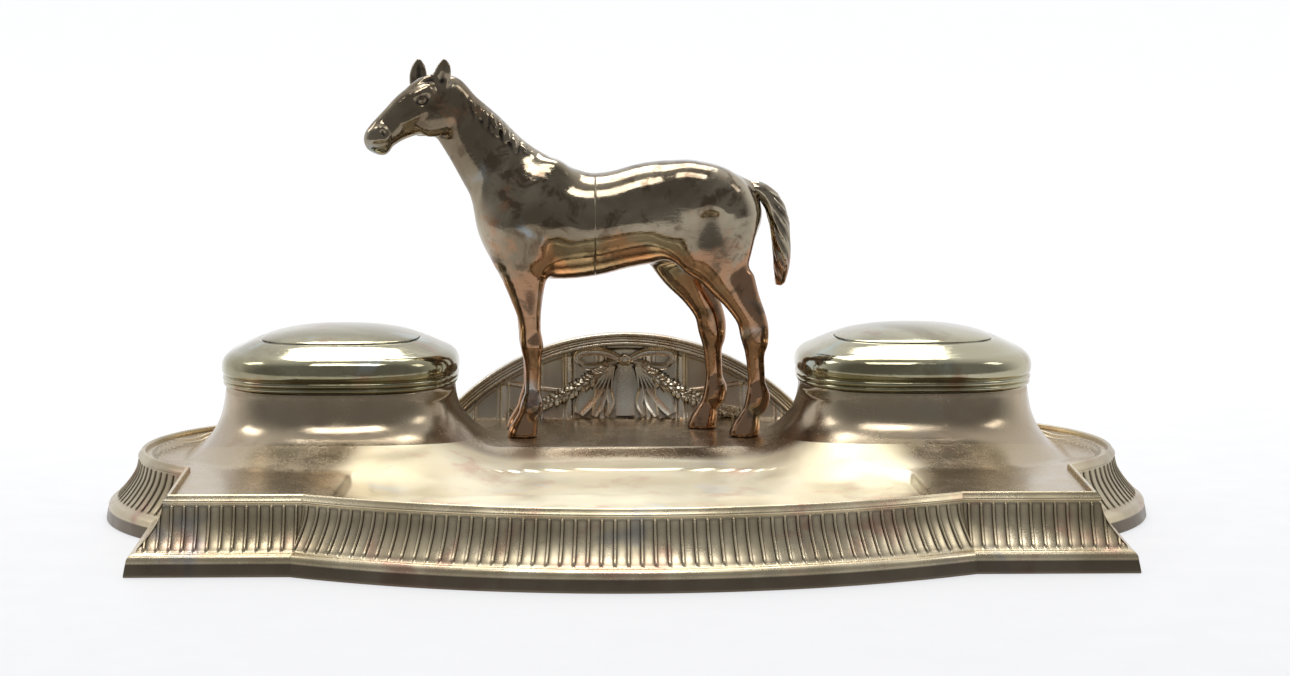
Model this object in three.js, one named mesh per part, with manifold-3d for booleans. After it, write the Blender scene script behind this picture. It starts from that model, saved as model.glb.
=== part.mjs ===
// Double desk inkstand: a bow-fronted base with a fluted border, two cushion-shaped wells with hinged
// lids and glass liners, a pen tray, an arched gallery, and a standing horse screwed to the middle.
// Millimetres, +Z up, -Y is the front. The wells' centre line is y = 0 until the last group shifts it.
import * as THREE from 'three';
import { mergeVertices } from 'three/addons/utils/BufferGeometryUtils.js';
import Module from 'manifold-3d';

const wasm = await Module();
wasm.setup();

// ---------------------------------------------------------------- driving dimensions
const GAP = 0.3;                  // clearance between neighbouring pieces
const SHEET = 1.4;                // thickness of the pressed metal sheet

const WELL_X = 107;               // each well's centre, left and right of the middle
const CUSHION_POWER = 2.6;        // exponent of the wells' rounded-square outline
const CUSHION_STEPS = 28;         // points round a rounded square

const RIM_Z = 25;                 // top of the border
const FOOT_FLARE = 12.8;          // how far the foot stands out from the rim
const BOW_RADIUS = 222;           // front bow, measured at the rim
const BOW_CENTRE_Y = 68.6;
const BLOCK_FRONT_Y = -125;       // front line of the square blocks at the rim
const BLOCK_CORNER_X = 153.5;     // outer corner of a block at the rim
const SIDE_SPLAY = 3 / 71;        // sideways run of a block's side line per mm of depth
const WING_X = 107;               // centre of a rounded wing's front arc
const WING_Y = -14;
const WING_RADIUS = 72.3;         // its radius at the rim
const WING_TURN = (50 * Math.PI) / 180; // where a wider arc takes over towards the rear
const REAR_Y = 74;                // straight rear line at the rim

const DECK_Z = 23.3;              // general level of the pressed deck
const PLATEAU_Z = 24.5;           // level of the middle stage under the horse
const TRAY_DEPTH = 4.2;

const HOUSING_TOP_Z = 46.7;
const HOUSING_TOP_HALF = 41.3;
const LID_BOTTOM_Z = 47;
const LID_HALF = 42.4;
const LID_WIDENING = 1.035;       // a lid is wider along the stand than across it
const LID_TOP_Z = 63.4;           // ledge that the dome stands on

const HINGE_Y = 44.5;
const HINGE_Z = 47.2;
const HINGE_LENGTH = 24;
const KNUCKLE_RADIUS = 1.8;
const HINGE_PIN_RADIUS = 0.7;

const HORSE_X = 5;                // shift of the horse's own stations along the stand
const HORSE_Y = 17;               // middle plane of the horse
const HOOF_SPREAD = 11;           // each hoof's distance from that plane
const STUD_RADIUS = 1.6;

const GALLERY_Y = 57;             // front of the arched gallery
const GALLERY_RADIUS = 96;
const GALLERY_TOP_Z = 58.3;

// ---------------------------------------------------------------- geometry helpers

// A BufferGeometry from a list of points and a list of triangles.
function geometryFrom(points, triangles) {
  const geometry = new THREE.BufferGeometry();
  const coordinates = points.flatMap((p) => [p.x, p.y, p.z]);
  geometry.setAttribute('position', new THREE.Float32BufferAttribute(coordinates, 3));
  geometry.setIndex(triangles.flat());
  return geometry;
}

// Skins a stack of equal-length rings. Each ring runs anticlockwise about the direction of travel.
// A closed stack joins its last ring to its first; an open one gets a cap at both ends.
function loft(rings, { closed = false } = {}) {
  const size = rings[0].length;
  const points = rings.flat();
  const triangles = [];
  const spans = closed ? rings.length : rings.length - 1;
  for (let row = 0; row < spans; row++) {
    const here = row * size;
    const next = ((row + 1) % rings.length) * size;
    for (let i = 0; i < size; i++) {
      const j = (i + 1) % size;
      triangles.push([here + i, here + j, next + j], [here + i, next + j, next + i]);
    }
  }
  if (!closed) {
    capRing(points, triangles, 0, size, true);
    capRing(points, triangles, (rings.length - 1) * size, size, false);
  }
  return geometryFrom(points, triangles);
}

// Closes one end of a loft with a fan about the ring's middle.
function capRing(points, triangles, start, size, facesBack) {
  const middle = new THREE.Vector3();
  for (let i = 0; i < size; i++) middle.addScaledVector(points[start + i], 1 / size);
  const centre = points.push(middle) - 1;
  for (let i = 0; i < size; i++) {
    const a = start + i;
    const b = start + ((i + 1) % size);
    triangles.push(facesBack ? [b, a, centre] : [a, b, centre]);
  }
}

// The manifold solid of a closed geometry.
function solid(geometry) {
  const bare = geometry.clone();
  bare.deleteAttribute('normal');
  bare.deleteAttribute('uv');
  const merged = mergeVertices(bare, 1e-4);
  return new wasm.Manifold(new wasm.Mesh({
    numProp: 3,
    vertProperties: new Float32Array(merged.attributes.position.array),
    triVerts: new Uint32Array(merged.index.array),
  }));
}

// The geometry of a manifold solid.
function shape(body) {
  const { vertProperties, triVerts } = body.getMesh();
  const geometry = new THREE.BufferGeometry();
  geometry.setAttribute('position', new THREE.BufferAttribute(vertProperties, 3));
  geometry.setIndex(new THREE.BufferAttribute(triVerts, 1));
  return geometry;
}

const union = (bodies) => bodies.reduce((sum, body) => sum.add(body));

function boxSolid([x0, y0, z0], [x1, y1, z1]) {
  const box = new THREE.BoxGeometry(x1 - x0, y1 - y0, z1 - z0);
  return solid(box.translate((x0 + x1) / 2, (y0 + y1) / 2, (z0 + z1) / 2));
}

// An upright cylinder from z0 to z1.
function postSolid(x, y, z0, z1, radius, sides = 16) {
  const post = new THREE.CylinderGeometry(radius, radius, z1 - z0, sides);
  return solid(post.rotateX(Math.PI / 2).translate(x, y, (z0 + z1) / 2));
}

// A cylinder lying along X from x0 to x1.
function barSolid(x0, x1, y, z, radius, sides = 16) {
  const bar = new THREE.CylinderGeometry(radius, radius, x1 - x0, sides);
  return solid(bar.rotateZ(Math.PI / 2).translate((x0 + x1) / 2, y, z));
}

// A rounded-square ring at height z; sides gives its half-size towards +x, +y, -x and -y.
function cushionRing(z, sides, x = 0) {
  const [right, back, left, front] = Array.isArray(sides) ? sides : [sides, sides, sides, sides];
  return Array.from({ length: CUSHION_STEPS }, (_, i) => {
    const angle = (i / CUSHION_STEPS) * 2 * Math.PI;
    const c = Math.cos(angle);
    const s = Math.sin(angle);
    const reach = (Math.abs(c) ** CUSHION_POWER + Math.abs(s) ** CUSHION_POWER) ** (-1 / CUSHION_POWER);
    return new THREE.Vector3(x + reach * c * (c > 0 ? right : left), reach * s * (s > 0 ? back : front), z);
  });
}

const cushionLoft = (levels, x = 0) => solid(loft(levels.map(([z, sides]) => cushionRing(z, sides, x))));

// An ellipse about a centre, across the direction of travel u x v.
function ellipseRing(centre, u, v, a, b, count) {
  return Array.from({ length: count }, (_, i) => {
    const angle = (i / count) * 2 * Math.PI;
    return centre.clone().addScaledVector(u, a * Math.cos(angle)).addScaledVector(v, b * Math.sin(angle));
  });
}

// A limb of elliptical sections strung on a path: each station is [x, y, z, half width in the
// path's plane, half width across it]. The path lies in an upright plane along X.
function limb(stations, count = 12) {
  const centres = stations.map(([x, y, z]) => new THREE.Vector3(x + HORSE_X, y, z));
  const across = new THREE.Vector3(0, 1, 0);
  const rings = stations.map(([, , , inPlane, crossWise], i) => {
    const before = centres[Math.max(i - 1, 0)];
    const after = centres[Math.min(i + 1, centres.length - 1)];
    const travel = after.clone().sub(before).normalize();
    const inPlaneAxis = new THREE.Vector3().crossVectors(across, travel).normalize();
    const crossAxis = new THREE.Vector3().crossVectors(travel, inPlaneAxis);
    return ellipseRing(centres[i], inPlaneAxis, crossAxis, inPlane, crossWise, count);
  });
  return solid(loft(rings));
}

// ---------------------------------------------------------------- plan of the base

// Half of the base's outline, from the front middle to the rear middle, offset outward by o.
function rightOutline(o) {
  const points = [];
  const bowRadius = BOW_RADIUS + o;
  const frontY = BLOCK_FRONT_Y - o;
  const bowEnd = Math.acos((BOW_CENTRE_Y - frontY) / bowRadius);
  const bowSteps = 8;
  for (let i = 0; i <= bowSteps; i++) {
    const angle = (bowEnd * i) / bowSteps;
    points.push([bowRadius * Math.sin(angle), BOW_CENTRE_Y - bowRadius * Math.cos(angle)]);
  }
  const sideX = (y) => BLOCK_CORNER_X + (y - BLOCK_FRONT_Y) * SIDE_SPLAY + o * Math.hypot(1, SIDE_SPLAY);
  points.push([sideX(frontY), frontY]);

  // Where the side line meets the wing's arc: a quadratic in y.
  const wingRadius = WING_RADIUS + o;
  const base = sideX(0) - WING_X;
  const a = 1 + SIDE_SPLAY ** 2;
  const b = 2 * (base * SIDE_SPLAY - WING_Y);
  const c = base ** 2 + WING_Y ** 2 - wingRadius ** 2;
  const junctionY = (-b - Math.sqrt(b * b - 4 * a * c)) / (2 * a);
  const wingStart = Math.atan2(junctionY - WING_Y, sideX(junctionY) - WING_X);
  const wingSteps = 9;
  for (let i = 0; i <= wingSteps; i++) {
    const angle = wingStart + ((WING_TURN - wingStart) * i) / wingSteps;
    points.push([WING_X + wingRadius * Math.cos(angle), WING_Y + wingRadius * Math.sin(angle)]);
  }

  // The wider arc, tangent to the wing and to the rear line.
  const turnX = WING_X + WING_RADIUS * Math.cos(WING_TURN);
  const turnY = WING_Y + WING_RADIUS * Math.sin(WING_TURN);
  const rearRadius = (REAR_Y - turnY) / (1 - Math.sin(WING_TURN));
  const centreX = turnX - rearRadius * Math.cos(WING_TURN);
  const centreY = REAR_Y - rearRadius;
  const rearSteps = 5;
  for (let i = 1; i <= rearSteps; i++) {
    const angle = WING_TURN + ((Math.PI / 2 - WING_TURN) * i) / rearSteps;
    points.push([centreX + (rearRadius + o) * Math.cos(angle), centreY + (rearRadius + o) * Math.sin(angle)]);
  }
  points.push([0, REAR_Y + o]);
  return points;
}

// The whole outline, anticlockwise from the front middle.
function outline(o) {
  const right = rightOutline(o);
  const left = right.slice(1, -1).reverse().map(([x, y]) => [-x, y]);
  return [...right, ...left];
}

const outlineRing = (o, z) => outline(o).map(([x, y]) => new THREE.Vector3(x, y, z));
const outlineBlock = (o, z0, z1) => solid(loft([outlineRing(o, z0), outlineRing(o, z1)]));

// Height of the deck's upper face: a level sheet, a raised stage in the middle, a dished pen tray.
function deckHeight(x, y) {
  const ramp = (edge) => THREE.MathUtils.smoothstep(edge, 0, 6);
  const stage = ramp(66 - Math.abs(x)) * ramp(y + 22) * ramp(62 - y);
  const tray = Math.max(0, 1 - (x / 96) ** 4 - ((y + 86) / 46) ** 2);
  return DECK_Z + (PLATEAU_Z - DECK_Z) * stage - TRAY_DEPTH * Math.min(1, 1.6 * tray);
}

// Everything from z = bottom up to the deck's upper face plus a lift, over a rectangle past the rim.
function underDeck(bottom, lift) {
  const halfX = 190;
  const [minY, maxY] = [-165, 95];
  const [columns, rows] = [28, 20];
  const points = [];
  const triangles = [];
  for (let level = 0; level < 2; level++) {
    for (let r = 0; r <= rows; r++) {
      for (let c = 0; c <= columns; c++) {
        const x = -halfX + (2 * halfX * c) / columns;
        const y = minY + ((maxY - minY) * r) / rows;
        points.push(new THREE.Vector3(x, y, level ? deckHeight(x, y) + lift : bottom));
      }
    }
  }
  const width = columns + 1;
  const upper = width * (rows + 1);
  const side = (a, b) => triangles.push([a, b, b + upper], [a, b + upper, a + upper]);
  for (let r = 0; r < rows; r++) {
    for (let c = 0; c < columns; c++) {
      const a = r * width + c;
      const [b, d, e] = [a + 1, a + width, a + width + 1];
      triangles.push([a, e, b], [a, d, e]);
      triangles.push([upper + a, upper + b, upper + e], [upper + a, upper + e, upper + d]);
    }
  }
  for (let c = 0; c < columns; c++) {
    side(c, c + 1);
    side(rows * width + c + 1, rows * width + c);
  }
  for (let r = 0; r < rows; r++) {
    side(r * width + columns, (r + 1) * width + columns);
    side((r + 1) * width, r * width);
  }
  return solid(geometryFrom(points, triangles));
}

// ---------------------------------------------------------------- base pieces

// The flared border as one closed section carried round the outline, with an in-turned foot.
function makeBorder() {
  const foot = FOOT_FLARE;
  const section = [
    [foot, 0], [foot, 3.6], [foot - 4.6, 7.6], [5.2, 14.4], [2.4, 18.6], [0.6, 22.2], [0.8, 23.6], [0, RIM_Z],
    [-1.4, RIM_Z], [-1.6, 22.4], [0.7, 17.8], [3.5, 13.4], [foot - 6.2, 6.6], [foot - 1.5, 2.6],
    [foot - 1.5, 1.6], [foot - 7, 1.6], [foot - 7, 0],
  ];
  return loft(section.map(([o, z]) => outlineRing(o, z)), { closed: true });
}

const hoofPlaces = {
  near_fore: [HORSE_X - 45, HORSE_Y - HOOF_SPREAD],
  far_fore: [HORSE_X - 46, HORSE_Y + HOOF_SPREAD],
  near_hind: [HORSE_X + 39.5, HORSE_Y - HOOF_SPREAD],
  far_hind: [HORSE_X + 24.5, HORSE_Y + HOOF_SPREAD],
};

function makeDeck() {
  const inset = -1.6 - GAP;
  let deck = outlineBlock(inset, 0, 40).intersect(underDeck(-10, 0)).subtract(underDeck(-20, -SHEET));
  for (const x of [-WELL_X, WELL_X]) {
    deck = deck.subtract(cushionLoft([[0, HOUSING_TOP_HALF - 4], [40, HOUSING_TOP_HALF - 4]], x));
  }
  for (const [x, y] of Object.values(hoofPlaces)) {
    deck = deck.subtract(postSolid(x, y, 0, 40, STUD_RADIUS + GAP));
  }
  return shape(deck);
}

// A well's housing: an upright rounded square that sweeps out to a wide foot on the deck.
// Half-sizes run towards +x, +y, -x and -y for the right-hand well, whose inner side faces -x.
function housingLevels(grow) {
  const top = HOUSING_TOP_HALF;
  const levels = [
    [18, [58, 60, 62, 80]], [23.5, [53, 55, 57, 72]], [25, [50.5, 52.5, 55.5, 66]], [28, [47.5, 49.5, 52, 57]],
    [32, [45, 46.5, 49, 51]], [37, [43.6, 44, 46.2, 46.5]], [42, [42.6, 42.2, 43.4, 43]],
    [HOUSING_TOP_Z, [top + 0.9, top, top + 0.9, top]],
  ];
  return levels.map(([z, sides]) => [z, sides.map((half) => half + grow)]);
}

const mirrorSides = (levels, side) =>
  levels.map(([z, [out, back, inner, front]]) => [z, side > 0 ? [out, back, inner, front] : [inner, back, out, front]]);

function makeHousing(side) {
  const outer = cushionLoft(mirrorSides(housingLevels(0), side), side * WELL_X);
  const core = mirrorSides(housingLevels(-SHEET), side);
  const above = [HOUSING_TOP_Z + 5, core[core.length - 1][1]];
  const inner = cushionLoft([...core, above], side * WELL_X);
  return shape(outer.subtract(inner).subtract(underDeck(-20, GAP)));
}

// The flat ring inside the mouth of a well that carries the liner's flange.
function makeCollar(side) {
  const half = HOUSING_TOP_HALF - SHEET - GAP;
  const plate = cushionLoft([[44.2, half], [45.6, half]], side * WELL_X);
  return shape(plate.subtract(cushionLoft([[40, 31], [50, 31]], side * WELL_X)));
}

// A glass ink pot hung in the collar by its flange.
function makeLiner(side) {
  const x = side * WELL_X;
  const pot = cushionLoft([[6, 27], [9, 30], [46, 30]], x);
  const flange = cushionLoft([[45.9, 33.5], [47.6, 33.5]], x);
  const hollow = cushionLoft([[10, 22], [14, 25.5], [50, 25.5]], x);
  return shape(pot.add(flange).subtract(hollow));
}

// ---------------------------------------------------------------- lids and hinges

const lidSides = (half) => [half * LID_WIDENING, half, half * LID_WIDENING, half];

function lidLevels(grow) {
  const levels = [
    [LID_BOTTOM_Z, LID_HALF - 0.4], [48.4, LID_HALF], [50, LID_HALF - 0.6], [55.6, LID_HALF - 0.2],
    [58, 41], [59.6, 38.3], [61, 34.4], [62.4, 31.2], [LID_TOP_Z, 30],
  ];
  return levels.map(([z, half]) => [z, lidSides(half + grow)]);
}

function makeLidShell(side) {
  const x = side * WELL_X;
  const hollow = [
    [LID_BOTTOM_Z - 3, 40.6], [48.4, 41], [55, 40.8], [57, 39.2], [58.4, 36.6], [59.8, 32.8], [60.9, 30],
    [LID_TOP_Z - SHEET, 29],
  ];
  const cavity = cushionLoft(hollow.map(([z, half]) => [z, lidSides(half)]), x);
  const window = cushionLoft([[LID_TOP_Z - 3, 26.5], [LID_TOP_Z + 3, 26.5]], x);
  return shape(cushionLoft(lidLevels(0), x).subtract(cavity).subtract(window));
}

function makeLidDome(side) {
  const base = LID_TOP_Z + GAP;
  const dome = [[base, 29.4], [base + 1.1, 29], [base + 2.6, 24], [base + 3.8, 16], [base + 4.4, 7]];
  return loft(dome.map(([z, half]) => cushionRing(z, half, side * WELL_X)));
}

const pinHole = (x) => barSolid(x - HINGE_LENGTH, x + HINGE_LENGTH, HINGE_Y, HINGE_Z, HINGE_PIN_RADIUS + GAP);

// The leaf soldered to the housing's back, with a knuckle at each end.
function makeBodyLeaf(side) {
  const x = side * WELL_X;
  const half = HINGE_LENGTH / 2;
  const knuckleStart = HINGE_LENGTH / 6 + GAP / 2;
  const plate = boxSolid([x - half, HINGE_Y - 5, 37], [x + half, HINGE_Y + 0.6, HINGE_Z - KNUCKLE_RADIUS - GAP]);
  const webs = [-1, 1].map((end) => {
    const [a, b] = [x + end * knuckleStart, x + end * half].sort((p, q) => p - q);
    const knuckle = barSolid(a, b, HINGE_Y, HINGE_Z, KNUCKLE_RADIUS);
    return knuckle.add(boxSolid([a, HINGE_Y - 0.9, 43], [b, HINGE_Y + 0.6, HINGE_Z]));
  });
  const housing = cushionLoft(mirrorSides(housingLevels(GAP), side), x);
  return shape(union([plate, ...webs]).subtract(pinHole(x)).subtract(housing));
}

// The leaf soldered to the lid's back, with the middle knuckle.
function makeLidLeaf(side) {
  const x = side * WELL_X;
  const reach = HINGE_LENGTH / 6 - GAP / 2;
  const knuckle = barSolid(x - reach, x + reach, HINGE_Y, HINGE_Z, KNUCKLE_RADIUS);
  const strap = boxSolid([x - reach, 40, HINGE_Z - 0.2], [x + reach, HINGE_Y, 50.6]);
  const plate = boxSolid([x - HINGE_LENGTH / 2, 40, 49.8], [x + HINGE_LENGTH / 2, 43.8, 54.5]);
  const lid = cushionLoft([[LID_BOTTOM_Z - 8, lidSides(LID_HALF - 0.4 + GAP)], ...lidLevels(GAP)], x);
  return shape(union([knuckle, strap, plate]).subtract(pinHole(x)).subtract(lid));
}

function makeHingePin(side) {
  const x = side * WELL_X;
  const reach = HINGE_LENGTH / 2 + 0.8;
  return shape(barSolid(x - reach, x + reach, HINGE_Y, HINGE_Z, HINGE_PIN_RADIUS, 12));
}

// ---------------------------------------------------------------- gallery

const galleryCentreZ = GALLERY_TOP_Z - GALLERY_RADIUS;

// An upright plate with a round top: the arc's disc above the deck, between two depths.
function arcPlate(radius, yFront, yBack) {
  const half = Math.sqrt(radius ** 2 - (15 - galleryCentreZ) ** 2);
  const outlineShape = new THREE.Shape();
  outlineShape.moveTo(-half, 15);
  const start = Math.atan2(15 - galleryCentreZ, half);
  outlineShape.lineTo(half, 15);
  outlineShape.absarc(0, galleryCentreZ, radius, start, Math.PI - start, false);
  const plate = new THREE.ExtrudeGeometry(outlineShape, { depth: yBack - yFront, bevelEnabled: false, curveSegments: 28 });
  return solid(plate.rotateX(Math.PI / 2).translate(0, yBack, 0));
}

const RIM_WIDTH = 5.3;            // face width of the reeded moulding round the arch
const RIM_DEPTH = 5.2;

function makeGalleryPlate() {
  const field = arcPlate(GALLERY_RADIUS - RIM_WIDTH - GAP, GALLERY_Y + 2.6, GALLERY_Y + 2.6 + SHEET);
  return shape(field.subtract(underDeck(-20, GAP)));
}

function makeGalleryRim() {
  const outer = arcPlate(GALLERY_RADIUS, GALLERY_Y, GALLERY_Y + RIM_DEPTH);
  const inner = arcPlate(GALLERY_RADIUS - RIM_WIDTH, GALLERY_Y - 5, GALLERY_Y + RIM_DEPTH + 5);
  return shape(outer.subtract(inner).subtract(underDeck(-20, GAP)));
}

// The applied ornament stands in front of the field by this much.
const RELIEF_BACK_Y = GALLERY_Y + 2.6 - GAP;

function reliefBar(points, radius) {
  const path = new THREE.CatmullRomCurve3(points.map(([x, z]) => new THREE.Vector3(x, RELIEF_BACK_Y - radius, z)));
  const section = new THREE.Shape().absarc(0, 0, radius, 0, 2 * Math.PI, false);
  const bar = new THREE.ExtrudeGeometry(section, { steps: 6, extrudePath: path, curveSegments: 3 });
  return solid(bar);
}

const BOW_LOOP_X = 9.6;
const BOW_LOOP_Z = 48;
const BOW_THICKNESS = 1.8;

// Two flat ribbon loops held by a knot.
function makeRibbonBow() {
  const loops = [-1, 1].map((side) => {
    const band = new THREE.Shape().absellipse(side * BOW_LOOP_X, BOW_LOOP_Z, 8.8, 3, 0, 2 * Math.PI, false, 0);
    band.holes.push(new THREE.Path().absellipse(side * BOW_LOOP_X, BOW_LOOP_Z, 6.8, 1.3, 0, 2 * Math.PI, true, 0));
    const ribbon = new THREE.ExtrudeGeometry(band, { depth: BOW_THICKNESS, bevelEnabled: false, curveSegments: 10 });
    return solid(ribbon.rotateX(Math.PI / 2).translate(0, RELIEF_BACK_Y, 0));
  });
  const knot = boxSolid([-2.2, RELIEF_BACK_Y - BOW_THICKNESS - 0.6, 46.2], [2.2, RELIEF_BACK_Y, 50]);
  return shape(union([...loops, knot]));
}

const makeGarland = (side) => shape(reliefBar(
  [[side * 10.5, 41.2], [side * 16.5, 37.3], [side * 24, 33.4], [side * 32, 29.9], [side * 41, 27.3]], 1.4));

// Five leaves fanned out below the bow.
function makeLeafFan() {
  const leaves = [-2, -1, 0, 1, 2].map((step) => {
    const tip = step * 8.5;
    const low = 27.6 + Math.abs(step) * 1.4;
    return reliefBar([[step * 1.2, 44.6], [step * 3.4, 38], [tip, low]], 1.1);
  });
  const boss = boxSolid([-3, RELIEF_BACK_Y - 2.2, 43], [3, RELIEF_BACK_Y, 45.8]);
  return shape(union([...leaves, boss]));
}

// ---------------------------------------------------------------- horse

const SEAM_X = -17;               // plane where the two hollow castings of the barrel meet
const HOOF_BOTTOM_Z = PLATEAU_Z + GAP;

// Stations of the trunk from tail to chest: x, z, half height, half width.
const TRUNK = [
  [46, 113, 8, 6], [42, 109, 15, 12.5], [33, 108, 18.5, 17], [20, 109, 17, 18.5], [4, 107, 19, 20],
  [SEAM_X, 106.5, 20, 20.5], [-32, 106, 21.5, 19.5], [-45, 107, 21, 17], [-54, 108, 17, 13], [-60, 108, 10, 7],
];

// The trunk between two of its stations, shrunk by a wall thickness.
function trunk(first, last, shrink) {
  const stations = TRUNK.slice(first, last + 1);
  return limb(stations.map(([x, z, tall, wide]) => [x, HORSE_Y, z, tall - shrink, wide - shrink]), 16);
}

function foreLeg([hoofX, y]) {
  const x = hoofX - HORSE_X;
  const spread = Math.sign(y - HORSE_Y);
  return limb([
    [x + 0.4, y, HOOF_BOTTOM_Z - 1, 6.3, 5.4], [x + 1.8, y, 31, 4.8, 4.6], [x + 3.4, y, 36, 3.3, 3.3],
    [x + 4.2, y, 40, 4, 3.7], [x + 4.4, y, 50, 3.1, 2.9], [x + 4, y, 58, 4.2, 3.9], [x + 3.2, y, 66, 4.2, 4],
    [x + 1.8, y - spread, 82, 7, 5.5], [x + 1.2, y - 2 * spread, 98, 10, 7], [x + 1.2, y - 4 * spread, 110, 9, 7],
  ], 10);
}

function hindLeg([hoofX, y]) {
  const x = hoofX - HORSE_X;
  const spread = Math.sign(y - HORSE_Y);
  return limb([
    [x - 0.6, y, HOOF_BOTTOM_Z - 1, 6.5, 5.4], [x + 0.4, y, 31, 5.2, 4.6], [x + 2.6, y, 37, 3.5, 3.3],
    [x + 3.8, y, 41, 4.2, 3.8], [x + 3.4, y, 52, 3.4, 3], [x + 1.6, y, 66, 5.2, 4.2],
    [x - 3, y - spread, 76, 6.2, 5], [x - 9, y - 2 * spread, 90, 11, 7], [x - 9, y - 4 * spread, 104, 13, 8.5],
  ], 10);
}

function makeHorseForehand() {
  const neck = limb([
    [-38, HORSE_Y, 110, 20, 13], [-50, HORSE_Y, 124, 16, 10], [-60, HORSE_Y, 138, 12, 7],
    [-69, HORSE_Y, 149, 10, 6], [-76, HORSE_Y, 156, 7, 5],
  ], 14);
  const head = limb([
    [-72, HORSE_Y, 153, 8, 5], [-80, HORSE_Y, 149, 10.5, 6.8], [-89, HORSE_Y, 143.5, 8, 5.4],
    [-97, HORSE_Y, 139.5, 5.6, 4.4], [-103, HORSE_Y, 137.4, 4.6, 4], [-106, HORSE_Y, 136.6, 2.8, 2.6],
  ], 12);
  const ears = [-1, 1].map((side) => limb([
    [-77, HORSE_Y + side * 3.6, 156, 2.4, 1.8], [-78, HORSE_Y + side * 4.2, 162, 2.2, 1.4],
    [-79, HORSE_Y + side * 4, 167, 0.5, 0.4],
  ], 8));
  const legs = [hoofPlaces.near_fore, hoofPlaces.far_fore].map(foreLeg);
  const hollow = trunk(5, 8, SHEET + 0.8);
  const seam = SEAM_X + HORSE_X;
  const mouth = boxSolid([seam - 1, HORSE_Y - 8, 98], [seam + 4, HORSE_Y + 8, 114]);
  let body = union([trunk(5, 9, 0), neck, head, ...ears, ...legs]).subtract(hollow).subtract(mouth);
  for (const place of [hoofPlaces.near_fore, hoofPlaces.far_fore]) body = body.subtract(studHole(place));
  return shape(standLevel(body).subtract(boxSolid([seam - GAP / 2, -60, 60], [80, 90, 180])));
}

function makeHorseHindquarters() {
  const legs = [hoofPlaces.near_hind, hoofPlaces.far_hind].map(hindLeg);
  const hollow = trunk(2, 5, SHEET + 0.8);
  const seam = SEAM_X + HORSE_X;
  const mouth = boxSolid([seam - 4, HORSE_Y - 8, 98], [seam + 1, HORSE_Y + 8, 114]);
  let body = union([trunk(0, 5, 0), ...legs]).subtract(hollow).subtract(mouth);
  for (const place of [hoofPlaces.near_hind, hoofPlaces.far_hind]) body = body.subtract(studHole(place));
  body = body.subtract(boxSolid([-120, -60, 60], [seam + GAP / 2, 90, 180]));
  return shape(standLevel(body).subtract(tailSolid(GAP)));
}

// The tail, grown by a clearance where the hindquarters are cut for it.
function tailSolid(grow) {
  const stations = [
    [43, 115.5, 3, 3], [47, 117, 3.2, 3], [51, 113, 3.6, 3.5], [53.2, 105, 3.8, 3.9],
    [53.8, 96, 3.4, 3.7], [53.8, 88, 3.1, 3.2], [53.5, 80.5, 1.3, 1.4],
  ];
  return limb(stations.map(([x, z, tall, wide]) => [x, HORSE_Y, z, tall + grow, wide + grow]), 12);
}

// Trims hooves level with the stage they stand on.
const standLevel = (body) => body.subtract(boxSolid([-120, -60, 0], [80, 90, HOOF_BOTTOM_Z]));

const studHole = ([x, y]) => postSolid(x, y, 10, 31, STUD_RADIUS + GAP);
const makeStud = ([x, y]) => shape(postSolid(x, y, 15.5, 30.7, STUD_RADIUS, 16));

function makeWasher([x, y]) {
  const top = PLATEAU_Z - SHEET - GAP;
  return shape(postSolid(x, y, top - 1, top, 5, 20).subtract(postSolid(x, y, 0, 40, STUD_RADIUS + GAP)));
}

function makeNut([x, y]) {
  const top = PLATEAU_Z - SHEET - 1 - 2 * GAP;
  return shape(postSolid(x, y, top - 3.2, top, 4, 6).subtract(postSolid(x, y, 0, 40, STUD_RADIUS + GAP)));
}

// ---------------------------------------------------------------- scene graph

const finishes = {
  plate: { color: 0xa39a84, roughness: 0.24, metalness: 1 },
  border: { color: 0x857a63, roughness: 0.38, metalness: 1 },
  lid: { color: 0x9a957e, roughness: 0.18, metalness: 1 },
  gallery: { color: 0x8f8b80, roughness: 0.45, metalness: 1 },
  horse: { color: 0x5d5143, roughness: 0.2, metalness: 1 },
  hardware: { color: 0x9b7f4a, roughness: 0.4, metalness: 1 },
  glass: { color: 0xdfe8e6, roughness: 0.05, metalness: 0 },
};

const assembly = new THREE.Group();

function place(name, geometry, finish) {
  const mesh = new THREE.Mesh(geometry, new THREE.MeshStandardMaterial(finishes[finish]));
  mesh.name = name;
  assembly.add(mesh);
}

place('fluted_border', makeBorder(), 'border');
place('deck_plate', makeDeck(), 'plate');

for (const [name, side] of [['left', -1], ['right', 1]]) {
  place(`${name}_well_housing`, makeHousing(side), 'plate');
  place(`${name}_liner_collar`, makeCollar(side), 'hardware');
  place(`${name}_glass_liner`, makeLiner(side), 'glass');
  place(`${name}_lid_shell`, makeLidShell(side), 'lid');
  place(`${name}_lid_dome`, makeLidDome(side), 'lid');
  place(`${name}_hinge_body_leaf`, makeBodyLeaf(side), 'hardware');
  place(`${name}_hinge_lid_leaf`, makeLidLeaf(side), 'hardware');
  place(`${name}_hinge_pin`, makeHingePin(side), 'hardware');
  place(`${name}_garland`, makeGarland(side), 'gallery');
}

place('gallery_plate', makeGalleryPlate(), 'gallery');
place('gallery_rim', makeGalleryRim(), 'gallery');
place('ribbon_bow', makeRibbonBow(), 'gallery');
place('leaf_fan', makeLeafFan(), 'gallery');

place('horse_forehand', makeHorseForehand(), 'horse');
place('horse_hindquarters', makeHorseHindquarters(), 'horse');
place('horse_tail', shape(tailSolid(0)), 'horse');

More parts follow.
